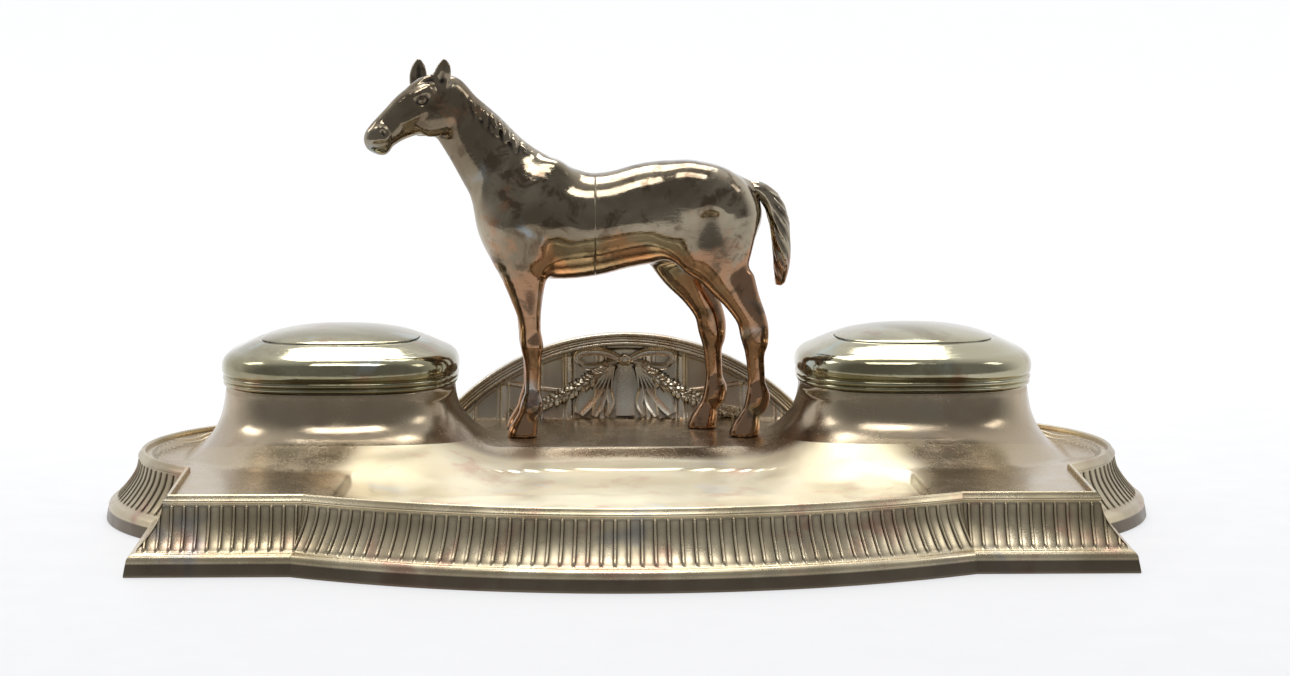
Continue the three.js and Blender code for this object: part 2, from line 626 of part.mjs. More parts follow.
for (const [name, spot] of Object.entries(hoofPlaces)) {
  place(`${name}_stud`, makeStud(spot), 'hardware');
  place(`${name}_washer`, makeWasher(spot), 'hardware');
  place(`${name}_nut`, makeNut(spot), 'hardware');
}

// The origin goes to the middle of the footprint, on the surface the foot stands on.
const frontFootY = BOW_CENTRE_Y - BOW_RADIUS - FOOT_FLARE;
const rearFootY = REAR_Y + FOOT_FLARE;
assembly.position.y = -(frontFootY + rearFootY) / 2;

const inkstand = new THREE.Group();
inkstand.add(assembly);

export default inkstand;
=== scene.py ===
"""Desk inkstand with a standing horse: the fine meshes, materials, light and camera."""
import math

import bmesh
import bpy
import numpy as np
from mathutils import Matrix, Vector, geometry


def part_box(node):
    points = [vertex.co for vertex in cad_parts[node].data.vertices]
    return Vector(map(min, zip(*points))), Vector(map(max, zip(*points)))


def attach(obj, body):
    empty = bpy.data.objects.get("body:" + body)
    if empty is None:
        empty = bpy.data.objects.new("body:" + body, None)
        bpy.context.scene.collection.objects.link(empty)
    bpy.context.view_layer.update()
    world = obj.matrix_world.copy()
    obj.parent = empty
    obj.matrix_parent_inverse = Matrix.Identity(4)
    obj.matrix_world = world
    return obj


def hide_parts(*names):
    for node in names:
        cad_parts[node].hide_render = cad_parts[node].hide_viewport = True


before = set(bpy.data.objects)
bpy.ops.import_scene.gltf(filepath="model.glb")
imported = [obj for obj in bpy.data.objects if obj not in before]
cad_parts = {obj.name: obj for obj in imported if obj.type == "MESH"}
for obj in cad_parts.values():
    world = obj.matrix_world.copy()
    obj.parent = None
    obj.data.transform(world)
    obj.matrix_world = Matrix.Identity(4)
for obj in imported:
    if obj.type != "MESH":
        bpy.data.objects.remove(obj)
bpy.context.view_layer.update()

MM = 0.001


def box_mm(node):
    """A CAD node's two corners in millimetres, in the frame's own axes."""
    low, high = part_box(node)
    return np.array(low) / MM, np.array(high) / MM


lid_low, lid_high = box_mm("right_lid_shell")
foot_low, foot_high = box_mm("fluted_border")
WELL_X = (lid_low[0] + lid_high[0]) / 2
WELL_Y = (lid_low[1] + lid_high[1]) / 2    # the wells' centre line, from which all designs below count y
LID_BOTTOM = lid_low[2]
LID_HALF = (lid_high[1] - lid_low[1]) / 2
LID_WIDENING = (lid_high[0] - lid_low[0]) / (lid_high[1] - lid_low[1])
LID_RISE = lid_high[2] - lid_low[2]
RIM_Z = foot_high[2]
FOOT_FLARE = 12.8                 # how far the foot stands outside the rim
WING_X = 107.0                    # centre and radius of the rounded wings
WING_Y = -14.0
WING_RADIUS = foot_high[0] - WING_X - FOOT_FLARE
WING_TURN = math.radians(50)      # where a wider arc takes over towards the rear
REAR_Y = foot_high[1] - WELL_Y - FOOT_FLARE
BOW_RADIUS = 222.0
BOW_CENTRE = foot_low[1] - WELL_Y + FOOT_FLARE + BOW_RADIUS
BLOCK_FRONT = -125.0              # straight front of the blocks beside the bow
BLOCK_CORNER = 153.5
SIDE_SPLAY = 3 / 71
CUSHION_POWER = 2.6               # squareness of the wells' rounded plan
RING_STEPS = 160
STAGE_Z = 24.5
DECK_Z = 23.3
HORSE_Y = 17.0
SEAM_X = -12.0                    # joint round the horse's barrel
GALLERY_Y = box_mm("gallery_rim")[0][1] - WELL_Y
GALLERY_TOP = box_mm("gallery_rim")[1][2]
GALLERY_RADIUS = 96.0

rng = np.random.default_rng(11)


# ------------------------------------------------------------------ camera

LENS = 72.56
CAMERA_X = -0.0154
CAMERA_BACK = 969.9               # in front of the wells' centre line
CAMERA_HEIGHT = 0.170
CAMERA_DOWN, CAMERA_TURN = 6.32, -1.3


def make_camera():
    data = bpy.data.cameras.new("camera")
    data.sensor_width = 36.0
    data.lens = LENS
    data.clip_end = 20.0
    camera = bpy.data.objects.new("camera", data)
    bpy.context.scene.collection.objects.link(camera)
    camera.location = (CAMERA_X, (WELL_Y - CAMERA_BACK) * MM, CAMERA_HEIGHT)
    camera.rotation_euler = (math.radians(90 - CAMERA_DOWN), 0, math.radians(CAMERA_TURN))
    bpy.context.scene.camera = camera


make_camera()


# ------------------------------------------------------------------ node helpers

class Nodes:
    """A material's node tree with short calls for the nodes used here."""

    def __init__(self, name):
        self.material = bpy.data.materials.new(name)
        self.material.use_nodes = True
        self.tree = self.material.node_tree
        self.bsdf = self.tree.nodes["Principled BSDF"]
        self.coords = self.new("ShaderNodeTexCoord").outputs["Object"]

    def new(self, kind, **settings):
        node = self.tree.nodes.new(kind)
        for key, value in settings.items():
            setattr(node, key, value)
        return node

    def fill(self, node, *values):
        for socket, value in values:
            node.inputs[socket].default_value = value

    def link(self, source, target):
        self.tree.links.new(source, target)

    def stretch(self, scale):
        """Object coordinates scaled by (x, y, z)."""
        node = self.new("ShaderNodeMapping")
        self.fill(node, ("Scale", scale))
        self.link(self.coords, node.inputs["Vector"])
        return node.outputs["Vector"]

    def noise(self, scale, detail=4.0, rough=0.55, warp=0.0, seed=0.0, vector=None):
        node = self.new("ShaderNodeTexNoise", noise_dimensions="4D")
        self.fill(node, ("Scale", scale), ("Detail", detail), ("Roughness", rough), ("Distortion", warp),
                  ("W", seed))
        self.link(vector or self.coords, node.inputs["Vector"])
        return node.outputs["Fac"]

    def ramp(self, source, low, high, to_low=0.0, to_high=1.0):
        node = self.new("ShaderNodeMapRange", interpolation_type="SMOOTHSTEP")
        self.fill(node, ("From Min", low), ("From Max", high), ("To Min", to_low), ("To Max", to_high))
        self.link(source, node.inputs["Value"])
        return node.outputs["Result"]

    def math(self, operation, a, b):
        node = self.new("ShaderNodeMath", operation=operation)
        for socket, value in zip(node.inputs, (a, b)):
            if isinstance(value, (int, float)):
                socket.default_value = value
            else:
                self.link(value, socket)
        return node.outputs[0]

    def mix(self, factor, a, b):
        node = self.new("ShaderNodeMix", data_type="RGBA", blend_type="MIX")
        self.link(factor, node.inputs["Factor"])
        for socket, value in ((node.inputs[6], a), (node.inputs[7], b)):
            if isinstance(value, tuple):
                socket.default_value = (*value, 1.0)
            else:
                self.link(value, socket)
        return node.outputs[2]

    def attribute(self, name):
        return self.new("ShaderNodeAttribute", attribute_name=name).outputs["Fac"]

    def along(self, axis):
        """Object coordinate X, Y or Z."""
        node = self.new("ShaderNodeSeparateXYZ")
        self.link(self.coords, node.inputs[0])
        return node.outputs[axis]

    def bump(self, source, strength, distance, under=None):
        node = self.new("ShaderNodeBump")
        self.fill(node, ("Strength", strength), ("Distance", distance))
        self.link(source, node.inputs["Height"])
        if under is not None:
            self.link(under, node.inputs["Normal"])
        return node.outputs["Normal"]

    def finish(self, colour, roughness, normal=None):
        self.link(colour, self.bsdf.inputs["Base Color"])
        self.link(roughness, self.bsdf.inputs["Roughness"])
        if normal is not None:
            self.link(normal, self.bsdf.inputs["Normal"])
        return self.material


def tarnished(name, clean, dull, brown, blue, gloss=(0.1, 0.26), brown_at=(0.52, 0.68),
              shade_and_tarnish=None, shade_and_tarnish_gloss=0.22, warm_below=None, soot=None):
    """Metal under olive tarnish, with brown and blue patches, fine scratches and small dents.

    The darkening colour goes where the mesh marks it: painted shade on the border and gallery, tarnish on the
    deck and housings, and the hollows of the horse and its tail; its gloss term roughens those points.
    warm_below is a height and a spread, in metres, under which brown takes over. soot adds small dark
    patches.
    """
    n = Nodes(name)
    n.fill(n.bsdf, ("Metallic", 1.0))
    patches = n.noise(22, detail=5, warp=0.8, seed=1.0)
    colour = n.mix(n.ramp(patches, 0.38, 0.62), clean, dull)
    spots = n.noise(46, detail=7, rough=0.62, warp=0.5, seed=4.0)
    if warm_below is not None:
        level, spread = warm_below
        low = n.ramp(n.along("Z"), level + spread, level - spread, 0.0, 0.22)
        spots = n.math("ADD", spots, low)
    colour = n.mix(n.ramp(spots, *brown_at, 0.0, 0.85), colour, brown)
    hazes = n.noise(31, detail=3, warp=1.2, seed=8.0)
    colour = n.mix(n.ramp(hazes, 0.56, 0.7, 0.0, 0.6), colour, blue)
    if soot is not None:
        specks = n.noise(95, detail=6, rough=0.65, warp=0.7, seed=13.0)
        colour = n.mix(n.ramp(specks, 0.52, 0.64, 0.0, 0.8), colour, soot)
    if shade_and_tarnish is not None:
        colour = n.mix(n.attribute("shade_and_tarnish"), colour, shade_and_tarnish)
    fine = n.noise(900, detail=3, seed=2.0)
    smears = n.noise(60, detail=6, rough=0.65, warp=0.4, seed=6.0)
    roughness = n.ramp(smears, 0.3, 0.75, *gloss)
    roughness = n.math("ADD", roughness, n.ramp(fine, 0.5, 0.75, 0.0, 0.06))
    if shade_and_tarnish is not None:
        roughness = n.math("ADD", roughness, n.math("MULTIPLY", n.attribute("shade_and_tarnish"), shade_and_tarnish_gloss))
    scratches = n.noise(160, detail=5, rough=0.7, seed=3.0, vector=n.stretch((1.0, 14.0, 9.0)))
    normal = n.bump(n.ramp(scratches, 0.55, 0.62), 0.05, 0.0002)
    normal = n.bump(n.noise(38, detail=2, seed=9.0), 0.25, 0.0008, normal)
    normal = n.bump(fine, 0.04, 0.0002, normal)
    return n.finish(colour, roughness, normal)


plate_silver = tarnished("plate_silver", (0.92, 0.81, 0.60), (0.66, 0.53, 0.35), (0.52, 0.34, 0.22),
                         (0.62, 0.60, 0.56), brown_at=(0.48, 0.64), shade_and_tarnish=(0.36, 0.29, 0.20),
                         shade_and_tarnish_gloss=0.03)
tray_silver = tarnished("tray_silver", (1.0, 0.93, 0.70), (0.96, 0.85, 0.60), (0.84, 0.62, 0.45),
                        (0.90, 0.87, 0.80), gloss=(0.34, 0.45), shade_and_tarnish=(0.36, 0.275, 0.175),
                        shade_and_tarnish_gloss=-0.16)
lid_silver = tarnished("lid_silver", (0.46, 0.43, 0.30), (0.27, 0.245, 0.15), (0.33, 0.20, 0.13),
                       (0.42, 0.50, 0.49), gloss=(0.04, 0.13), brown_at=(0.54, 0.68))
# Its darkening colour is painted shade: beside the ribs, on the plinth, over the wings and rear.
border_silver = tarnished("border_silver", (0.80, 0.69, 0.48), (0.54, 0.45, 0.29), (0.60, 0.36, 0.26),
                          (0.40, 0.42, 0.44), gloss=(0.2, 0.36), shade_and_tarnish=(0.085, 0.065, 0.05),
                          shade_and_tarnish_gloss=0.1)
# Its darkening colour is painted shade: in the reeds' grooves, on the sunken field and behind the relief.
gallery_silver = tarnished("gallery_silver", (0.84, 0.77, 0.64), (0.62, 0.55, 0.43), (0.52, 0.39, 0.26),
                           (0.62, 0.63, 0.63), gloss=(0.18, 0.34), shade_and_tarnish=(0.08, 0.062, 0.045))
horse_bronze = tarnished("horse_bronze", (0.40, 0.345, 0.255), (0.215, 0.17, 0.115), (0.40, 0.22, 0.125),
                         (0.40, 0.53, 0.60), gloss=(0.05, 0.15), brown_at=(0.55, 0.68),
                         shade_and_tarnish=(0.045, 0.037, 0.032), warm_below=(0.094, 0.014), soot=(0.12, 0.085, 0.055))
brass = tarnished("brass_hardware", (0.68, 0.52, 0.26), (0.50, 0.38, 0.20), (0.30, 0.20, 0.11),
                  (0.42, 0.40, 0.3), gloss=(0.25, 0.45))


def make_glass():
    n = Nodes("liner_glass")
    n.fill(n.bsdf, ("Transmission Weight", 1.0), ("IOR", 1.5))
    colour = n.mix(n.noise(30, detail=2), (0.93, 0.97, 0.95), (0.86, 0.92, 0.9))
    return n.finish(colour, n.ramp(n.noise(80, detail=4), 0.3, 0.7, 0.02, 0.08))


def make_ink():
    n = Nodes("dried_ink")
    colour = n.mix(n.noise(70, detail=5), (0.012, 0.014, 0.03), (0.03, 0.025, 0.04))
    return n.finish(colour, n.ramp(n.noise(120, detail=4), 0.3, 0.7, 0.15, 0.5))


liner_glass = make_glass()
dried_ink = make_ink()


# ------------------------------------------------------------------ mesh helpers

def piece(name, vertices, faces, material, replaces=(), body="stand", normals=None, shade_and_tarnish=None):
    """A mesh piece from millimetre vertices whose y counts from the wells' centre line."""
    vertices = np.asarray(vertices, dtype=np.float64)
    placed = (vertices + np.array([0.0, WELL_Y, 0.0])) * MM
    mesh = bpy.data.meshes.new(name)
    mesh.from_pydata(placed.tolist(), [], [tuple(int(i) for i in face) for face in faces])
    if shade_and_tarnish is not None:
        layer = mesh.attributes.new("shade_and_tarnish", "FLOAT", "POINT")
        layer.data.foreach_set("value", np.asarray(shade_and_tarnish, dtype=np.float32))
    mesh.shade_smooth()
    if normals is not None:
        mesh.normals_split_custom_set_from_vertices([tuple(n) for n in normals])
    mesh.materials.append(material)
    thing = bpy.data.objects.new(name, mesh)
    bpy.context.scene.collection.objects.link(thing)
    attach(thing, body)
    if replaces:
        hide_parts(*replaces)
    return thing


def weld(thing, sharp, distance=0.00002):
    """Merges doubled points, drops flat faces, and marks edges over an angle in degrees as sharp.

    distance is in metres.
    """
    work = bmesh.new()
    work.from_mesh(thing.data)
    bmesh.ops.remove_doubles(work, verts=work.verts, dist=distance)
    bmesh.ops.dissolve_degenerate(work, edges=work.edges, dist=distance / 4)
    bmesh.ops.recalc_face_normals(work, faces=work.faces)
    work.to_mesh(thing.data)
    work.free()
    thing.data.shade_smooth()
    thing.data.set_sharp_from_angle(angle=math.radians(sharp))


def smoothstep(value, low, high):
    """An eased step from 0 at low to 1 at high."""
    t = np.clip((value - low) / (high - low), 0, 1)
    return t * t * (3 - 2 * t)


def grid_faces(rows, columns, wrap_rows=False, wrap_columns=False):
    """Quads over a rows x columns lattice of vertices."""
    r = np.arange(rows if wrap_rows else rows - 1)
    c = np.arange(columns if wrap_columns else columns - 1)
    r, c = np.meshgrid(r, c, indexing="ij")
    r2, c2 = (r + 1) % rows, (c + 1) % columns
    corners = (r * columns + c, r * columns + c2, r2 * columns + c2, r2 * columns + c)
    return np.stack(corners, axis=-1).reshape(-1, 4)


def smooth_path(points, steps):
    """A Catmull-Rom curve through rows of numbers."""
    points = np.asarray(points, dtype=float)
    padded = np.vstack([2 * points[0] - points[1], points, 2 * points[-1] - points[-2]])
    result = []
    for i in range(1, len(padded) - 2):
        p0, p1, p2, p3 = padded[i - 1:i + 3]
        for t in np.arange(steps) / steps:
            result.append(0.5 * (2 * p1 + (p2 - p0) * t + (2 * p0 - 5 * p1 + 4 * p2 - p3) * t ** 2
                                 + (3 * p1 - p0 - 3 * p2 + p3) * t ** 3))
    result.append(points[-1])
    return np.array(result)


def arc_points(cx, cy, radius, start, end, steps):
    """Points of an arc, angles in degrees."""
    angles = np.radians(np.linspace(start, end, steps))
    return np.column_stack([cx + radius * np.cos(angles), cy + radius * np.sin(angles)])


def cushion_ring(z, half, steps=RING_STEPS, x=0.0, power=CUSHION_POWER, widen=1.0):
    """A level rounded square round a well at x; widen stretches it along x."""
    angles = np.arange(steps) / steps * 2 * np.pi
    c, s = np.cos(angles), np.sin(angles)
    reach = (np.abs(c) ** power + np.abs(s) ** power) ** (-1 / power)
    return np.column_stack([x + reach * c * half * widen, reach * s * half, np.full(steps, float(z))])


def cushion_lathe(profile, x, steps=RING_STEPS, widen=1.0):
    """Vertices and faces of a closed rounded-square shell from a closed (half size, z) profile."""
    rings = np.array([cushion_ring(z, half, steps, x, widen=widen) for half, z in profile])
    return rings.reshape(-1, 3), grid_faces(len(profile), steps, wrap_rows=True, wrap_columns=True)


def loft_tube(centres, radii, sides, squash=1.0):
    """A capped round tube along a path; squash flattens it along y."""
    centres = np.asarray(centres, dtype=float)
    travel = np.gradient(centres, axis=0)
    travel /= np.linalg.norm(travel, axis=1)[:, None]
    up = np.array([0.0, 1.0, 0.0])
    rings = []
    for centre, direction, radius in zip(centres, travel, radii):
        u = np.cross(direction, up)
        u /= np.linalg.norm(u)
        v = np.cross(u, direction)
        angles = np.arange(sides) / sides * 2 * np.pi
        ring = centre + radius * (np.cos(angles)[:, None] * u + squash * np.sin(angles)[:, None] * v)
        rings.append(ring)
    vertices = np.vstack([*rings, centres[:1], centres[-1:]])
    faces = [tuple(f) for f in grid_faces(len(rings), sides, wrap_columns=True)]
    first, last, base = len(vertices) - 2, len(vertices) - 1, (len(rings) - 1) * sides
    for i in range(sides):
        j = (i + 1) % sides
        faces.append((j, i, first))
        faces.append((base + i, base + j, last))
    return vertices, faces


def joined(parts):
    """One vertex list and face list from several."""
    vertices, faces, offset = [], [], 0
    for part_vertices, part_faces in parts:
        vertices.append(np.asarray(part_vertices, dtype=float))
        faces += [tuple(int(i) + offset for i in face) for face in part_faces]
        offset += len(part_vertices)
    return np.vstack(vertices), faces


# ------------------------------------------------------------------ plan of the base

def side_x(y, o):
    """The splayed side's x at y, at offset o outside the rim."""
    return BLOCK_CORNER + (y - BLOCK_FRONT) * SIDE_SPLAY + o * math.hypot(1, SIDE_SPLAY)


def plan_segments():
    """The right half of the outline as segments: (position(u, o), limits(o)).

    u is a distance along the segment at the rim; limits gives where its neighbours cut it at offset o.
    """
    def bow_limit(o):
        return np.arccos((BOW_CENTRE - BLOCK_FRONT + o) / (BOW_RADIUS + o)) * BOW_RADIUS

    def bow_at(u, o):
        angle = u / BOW_RADIUS
        return (BOW_RADIUS + o) * np.sin(angle), BOW_CENTRE - (BOW_RADIUS + o) * np.cos(angle)

    def front_limits(o):
        inner = (BOW_RADIUS + o) * np.sin(bow_limit(o) / BOW_RADIUS)
        return inner, side_x(BLOCK_FRONT - o, o)

    def front_at(u, o):
        return u, BLOCK_FRONT - o + 0 * u

    tilt = np.array([SIDE_SPLAY, 1.0]) / math.hypot(1, SIDE_SPLAY)

    def wing_limit(o):
        base = side_x(0, o) - WING_X
        a, b = 1 + SIDE_SPLAY ** 2, 2 * (base * SIDE_SPLAY - WING_Y)
        c = base ** 2 + WING_Y ** 2 - (WING_RADIUS + o) ** 2
        y = (-b - np.sqrt(b * b - 4 * a * c)) / (2 * a)
        return y, np.arctan2(y - WING_Y, side_x(y, o) - WING_X) * WING_RADIUS

    def side_at(u, o):
        y = BLOCK_FRONT + u * tilt[1] - o * tilt[0]
        return side_x(y, o), y

    def side_limits(o):
        start = (o * tilt[0] - o) / tilt[1]
        return start, (wing_limit(o)[0] + o * tilt[0] - BLOCK_FRONT) / tilt[1]

    def wing_at(u, o):
        angle = u / WING_RADIUS
        return WING_X + (WING_RADIUS + o) * np.cos(angle), WING_Y + (WING_RADIUS + o) * np.sin(angle)

    def wing_limits(o):
        return wing_limit(o)[1], WING_TURN * WING_RADIUS + 0 * o

    turn_y = WING_Y + WING_RADIUS * math.sin(WING_TURN)
    wide = (REAR_Y - turn_y) / (1 - math.sin(WING_TURN))
    wide_x = WING_X + (WING_RADIUS - wide) * math.cos(WING_TURN)

    def wide_at(u, o):
        angle = WING_TURN + u / wide
        return wide_x + (wide + o) * np.cos(angle), REAR_Y - wide + (wide + o) * np.sin(angle)

    def rear_at(u, o):
        return wide_x - u, REAR_Y + o + 0 * u

    return [
        (bow_at, lambda o: (0 * o, bow_limit(o))),
        (front_at, front_limits),
        (side_at, side_limits),
        (wing_at, wing_limits),
        (wide_at, lambda o: (0 * o, (math.pi / 2 - WING_TURN) * wide + 0 * o)),
        (rear_at, lambda o: (0 * o, wide_x + 0 * o)),
    ]


def outline(o, step=2.0):
    """The whole outline at offset o, anticlockwise from the front middle."""
    right = []
    for at, limits in plan_segments():
        start, end = (float(v) for v in limits(np.float64(o)))
        count = max(2, int(round((end - start) / step)))
        u = np.linspace(start, end, count + 1)[:-1]
        x, y = at(u, o)
        right.append(np.column_stack([x + 0 * u, y + 0 * u]))
    right = np.vstack([*right, [[0.0, REAR_Y + o]]])
    left = right[1:-1][::-1] * np.array([-1, 1])
    return np.vstack([right, left])


# ------------------------------------------------------------------ fluted border

RIB_PITCH = 4.25
RIB_HALF = 0.5                    # half width of a rib
RIB_HEIGHT = 0.55
RIB_ROUND = ((-1, 0), (-0.72, 0.75), (-0.25, 1), (0.25, 1), (0.72, 0.75), (1, 0))
PANEL_CROWN = 0.14                # swell of the panel between two ribs
# Painted shade on the foot's plinth.
PLINTH_PAINTED_SHADE = 0.88
# Painted shade over the border's wings and rear.
WING_PAINTED_SHADE = 0.42


def border_section():
    """The border's closed section as (offset, z), and where its ribs and its panels' swell stand, 0 to 1."""
    rim = np.vstack([
        arc_points(-0.9, RIM_Z - 0.9, 0.9, 180, 20, 9),
        arc_points(0.35, RIM_Z - 2.3, 0.7, 60, -80, 8),
    ])
    cove = smooth_path([(0.5, 21.6), (0.75, 19.8), (1.7, 16.9), (3.7, 13.6), (6.4, 10.2), (8.9, 7.7)], 6)
    shoulder = arc_points(9.3, 4.6, 2.7, 84, 0, 9)
    plinth = np.array([(12.1, 4.1), (12.2, 3.6), (12.45, 2.4), (12.72, 0.8), (12.8, 0.3), (12.6, 0.0)])
    under = np.array([(9.0, 0.0), (5.9, 0.0), (5.8, 0.3), (5.8, 1.3), (6.1, 1.6), (9.8, 1.6), (10.9, 2.4),
                      (10.6, 4.2)])
    back = smooth_path([(8.6, 5.6), (6.4, 7.6), (3.4, 11.2), (0.9, 15.4), (-0.6, 19.4), (-1.8, 22.4)], 2)
    section = np.vstack([rim, cove, shoulder, plinth, under, back])
    along = np.linspace(0, 1, len(cove))
    from_end = np.minimum(along, 1 - along)
    coved = slice(len(rim), len(rim) + len(cove))
    ribbed, swell = np.zeros(len(section)), np.zeros(len(section))
    ribbed[coved] = np.clip(from_end / 0.05, 0, 1)
    swell[coved] = np.clip(from_end / 0.16, 0, 1) ** 0.5
    return section, ribbed, swell


def section_normals(section):
    """Outward normals of the border's closed section."""
    following = np.roll(section, -1, axis=0) - np.roll(section, 1, axis=0)
    normal = np.column_stack([-following[:, 1], following[:, 0]])
    normal /= np.linalg.norm(normal, axis=1)[:, None]
    return normal * (-1 if normal[len(section) // 4, 0] < 0 else 1)


def rib_stations(low, high, start, pitch):
    """Distances along a segment, with the rib's and the panel's height at each."""
    u, lift, panel = [], [], []
    for index in range(math.floor((low - start) / pitch) - 1, math.ceil((high - start) / pitch) + 1):
        centre = start + (index + 0.5) * pitch
        for shift, rise in RIB_ROUND:
            u.append(centre + shift * RIB_HALF)
            lift.append(rise)
            panel.append(0.0)
        for share in (0.12, 0.3, 0.5, 0.7, 0.88):
            u.append(centre + RIB_HALF + share * (pitch - 2 * RIB_HALF))
            lift.append(0)
            panel.append(math.sin(math.pi * share) ** 0.4)
    return np.array(u), np.array(lift), np.array(panel)


def make_border():
    section, ribbed, swell = border_section()
    normal = section_normals(section)
    plinth = (section[:, 0] > 11.9) & (section[:, 1] < 4.2)
    # Painted shade on the plinth, standing for the dark it reflects.
    plinth_shade = np.where(plinth, PLINTH_PAINTED_SHADE, 0.0)
    strips, masks = [], []
    for at, limits in plan_segments():
        start, end = limits(section[:, 0])
        low, high = float(np.min(start)), float(np.max(end))
        rim_start, rim_end = (float(v) for v in limits(np.float64(0)))
        pitch = (rim_end - rim_start) / round((rim_end - rim_start) / RIB_PITCH)
        u, lift, panel = rib_stations(low, high, rim_start, pitch)
        # Ribs run on past a mitred corner, and stop short of a square end.
        lead = 0 if np.ptp(start) < 1e-6 else pitch
        trail = 0 if np.ptp(end) < 1e-6 else pitch
        keep = (u > low - lead) & (u < high + trail)
        u, lift = u[keep], lift[keep]
        bulge = panel[keep][:, None] * swell[None, :]
        rise = RIB_HEIGHT * lift[:, None] * ribbed[None, :] + PANEL_CROWN * bulge
        o = section[None, :, 0] + normal[None, :, 0] * rise
        z = section[None, :, 1] + normal[None, :, 1] * rise
        start, end = limits(o)
        placed = np.clip(u[:, None] + 0 * o, start, end)
        x, y = at(placed, o)
        strips.append(np.stack([x + 0 * o, y + 0 * o, z], axis=-1))
        # Painted shade along each rib's edges and at the ends of the flutes.
        shade = ribbed[None, :] * (1 - np.maximum(lift[:, None], 0.92 * bulge))
        # Painted shade over the wings and the rear, from y -75 mm back.
        side_shade = WING_PAINTED_SHADE * smoothstep(y + 0 * z, -75, -58)
        masks.append(np.clip(np.maximum(np.maximum(shade, plinth_shade[None, :]), side_shade), 0, 1))
    right = np.concatenate(strips)
    mask = np.concatenate(masks)
    left = right[::-1] * np.array([-1, 1, 1])
    whole = np.concatenate([right, left])
    shades = np.concatenate([mask, mask[::-1]])
    columns, count = whole.shape[:2]
    faces = grid_faces(columns, count, wrap_rows=True, wrap_columns=True)
    thing = piece("border_moulding", whole.reshape(-1, 3), faces, border_silver,
                  ["fluted_border"], shade_and_tarnish=shades.reshape(-1))
    weld(thing, 50, 0.00001)


make_border()


# ------------------------------------------------------------------ deck and well housings

HOUSING_TOP = 46.7
HOUSING_HALF = 41.3
HOUSING_WIDENING = 1 + 1.0 / HOUSING_HALF
HOUSING_FOOT = 22.5
SPLIT_HALF = 52.0                 # rounded square where each housing meets the deck
SPLIT_STEPS = 200
SHEET = 1.2                       # thickness of the pressed deck
RIM_OVERLAP = -1.1                # offset of the deck's edge inside the border's rim
STAGE_EDGE = -21.0                # crisp front edge of the middle stage
TRAY_HALF = 97.0
TRAY_FLOOR = 20.7
MOAT_LIP, MOAT_DEPTH = 4.2, 2.4   # dish round each well's outer side
STRIP_GRIME = 0.85


def smooth_max(a, b, k):
    """The larger of two heights, blended where they are within k."""
    h = np.clip(0.5 + 0.5 * (a - b) / k, 0, 1)
    return b * (1 - h) + a * h + k * h * (1 - h)


def housing_reach(z, side):
    """Half sizes of a housing at height z, out, back, in and front of its well."""
    drop = np.clip((HOUSING_TOP - z) / (HOUSING_TOP - HOUSING_FOOT), 0, 1.3)
    return {
        "out": HOUSING_HALF + 1.0 + 3.0 * drop + 9.0 * drop ** 3.4,
        "back": HOUSING_HALF + 15.0 * drop ** 2.6,
        "in": HOUSING_HALF + 1.0 + 17.5 * drop ** 2.6,
        "front": HOUSING_HALF + 2.0 * drop + 32.0 * drop ** 3.4,
    }[side]


LEVELS = np.concatenate([np.linspace(HOUSING_TOP, 30, 60)[:-1], np.linspace(30, 17, 60)])


def housing_height(x, y):
    """Height of the nearer housing's flare over a plan point."""
    dx = np.abs(x) - WELL_X
    half_x = np.where(dx[..., None] > 0, housing_reach(LEVELS, "out"), housing_reach(LEVELS, "in"))
    half_y = np.where(y[..., None] > 0, housing_reach(LEVELS, "back"), housing_reach(LEVELS, "front"))
    ratio = (np.abs(dx[..., None]) / half_x) ** CUSHION_POWER
    ratio = ratio + (np.abs(y[..., None]) / half_y) ** CUSHION_POWER
    outside = ratio > 1
    index = np.clip(np.argmin(outside, axis=-1), 1, len(LEVELS) - 1)
    take = lambda grid, i: np.take_along_axis(grid, i[..., None], axis=-1)[..., 0]
    above, below = take(ratio, index - 1), take(ratio, index)
    share = np.clip((above - 1) / np.maximum(above - below, 1e-9), 0, 1)
    height = LEVELS[index - 1] * (1 - share) + LEVELS[index] * share
    height = np.where(outside.all(axis=-1), LEVELS[-1], height)
    return np.where(~outside[..., 0], HOUSING_TOP, height)


def inside_loop(points, loop):
    """Which plan points lie within a closed loop."""
    crossings = np.zeros(len(points), dtype=int)
    for (x0, y0), (x1, y1) in zip(loop, np.roll(loop, -1, axis=0)):
        spans = (y0 > points[:, 1]) != (y1 > points[:, 1])
        at = x0 + (points[:, 1] - y0) * (x1 - x0) / (y1 - y0 + 1e-12)
        crossings += spans & (points[:, 0] < at)
    return crossings % 2 == 1


def tray_back(x):
    """The tray floor's back line: nearest the stage in the middle, coming forward at both ends."""
    return -30 - 28 * (np.abs(x) / 78) ** 2.2


def slope_back(x):
    """Top line of the slope behind the tray: the stage's edge, then round to the tray's ends."""
    return STAGE_EDGE - 50 * np.clip((np.abs(x) - 52) / 45, 0, 1.3) ** 1.7


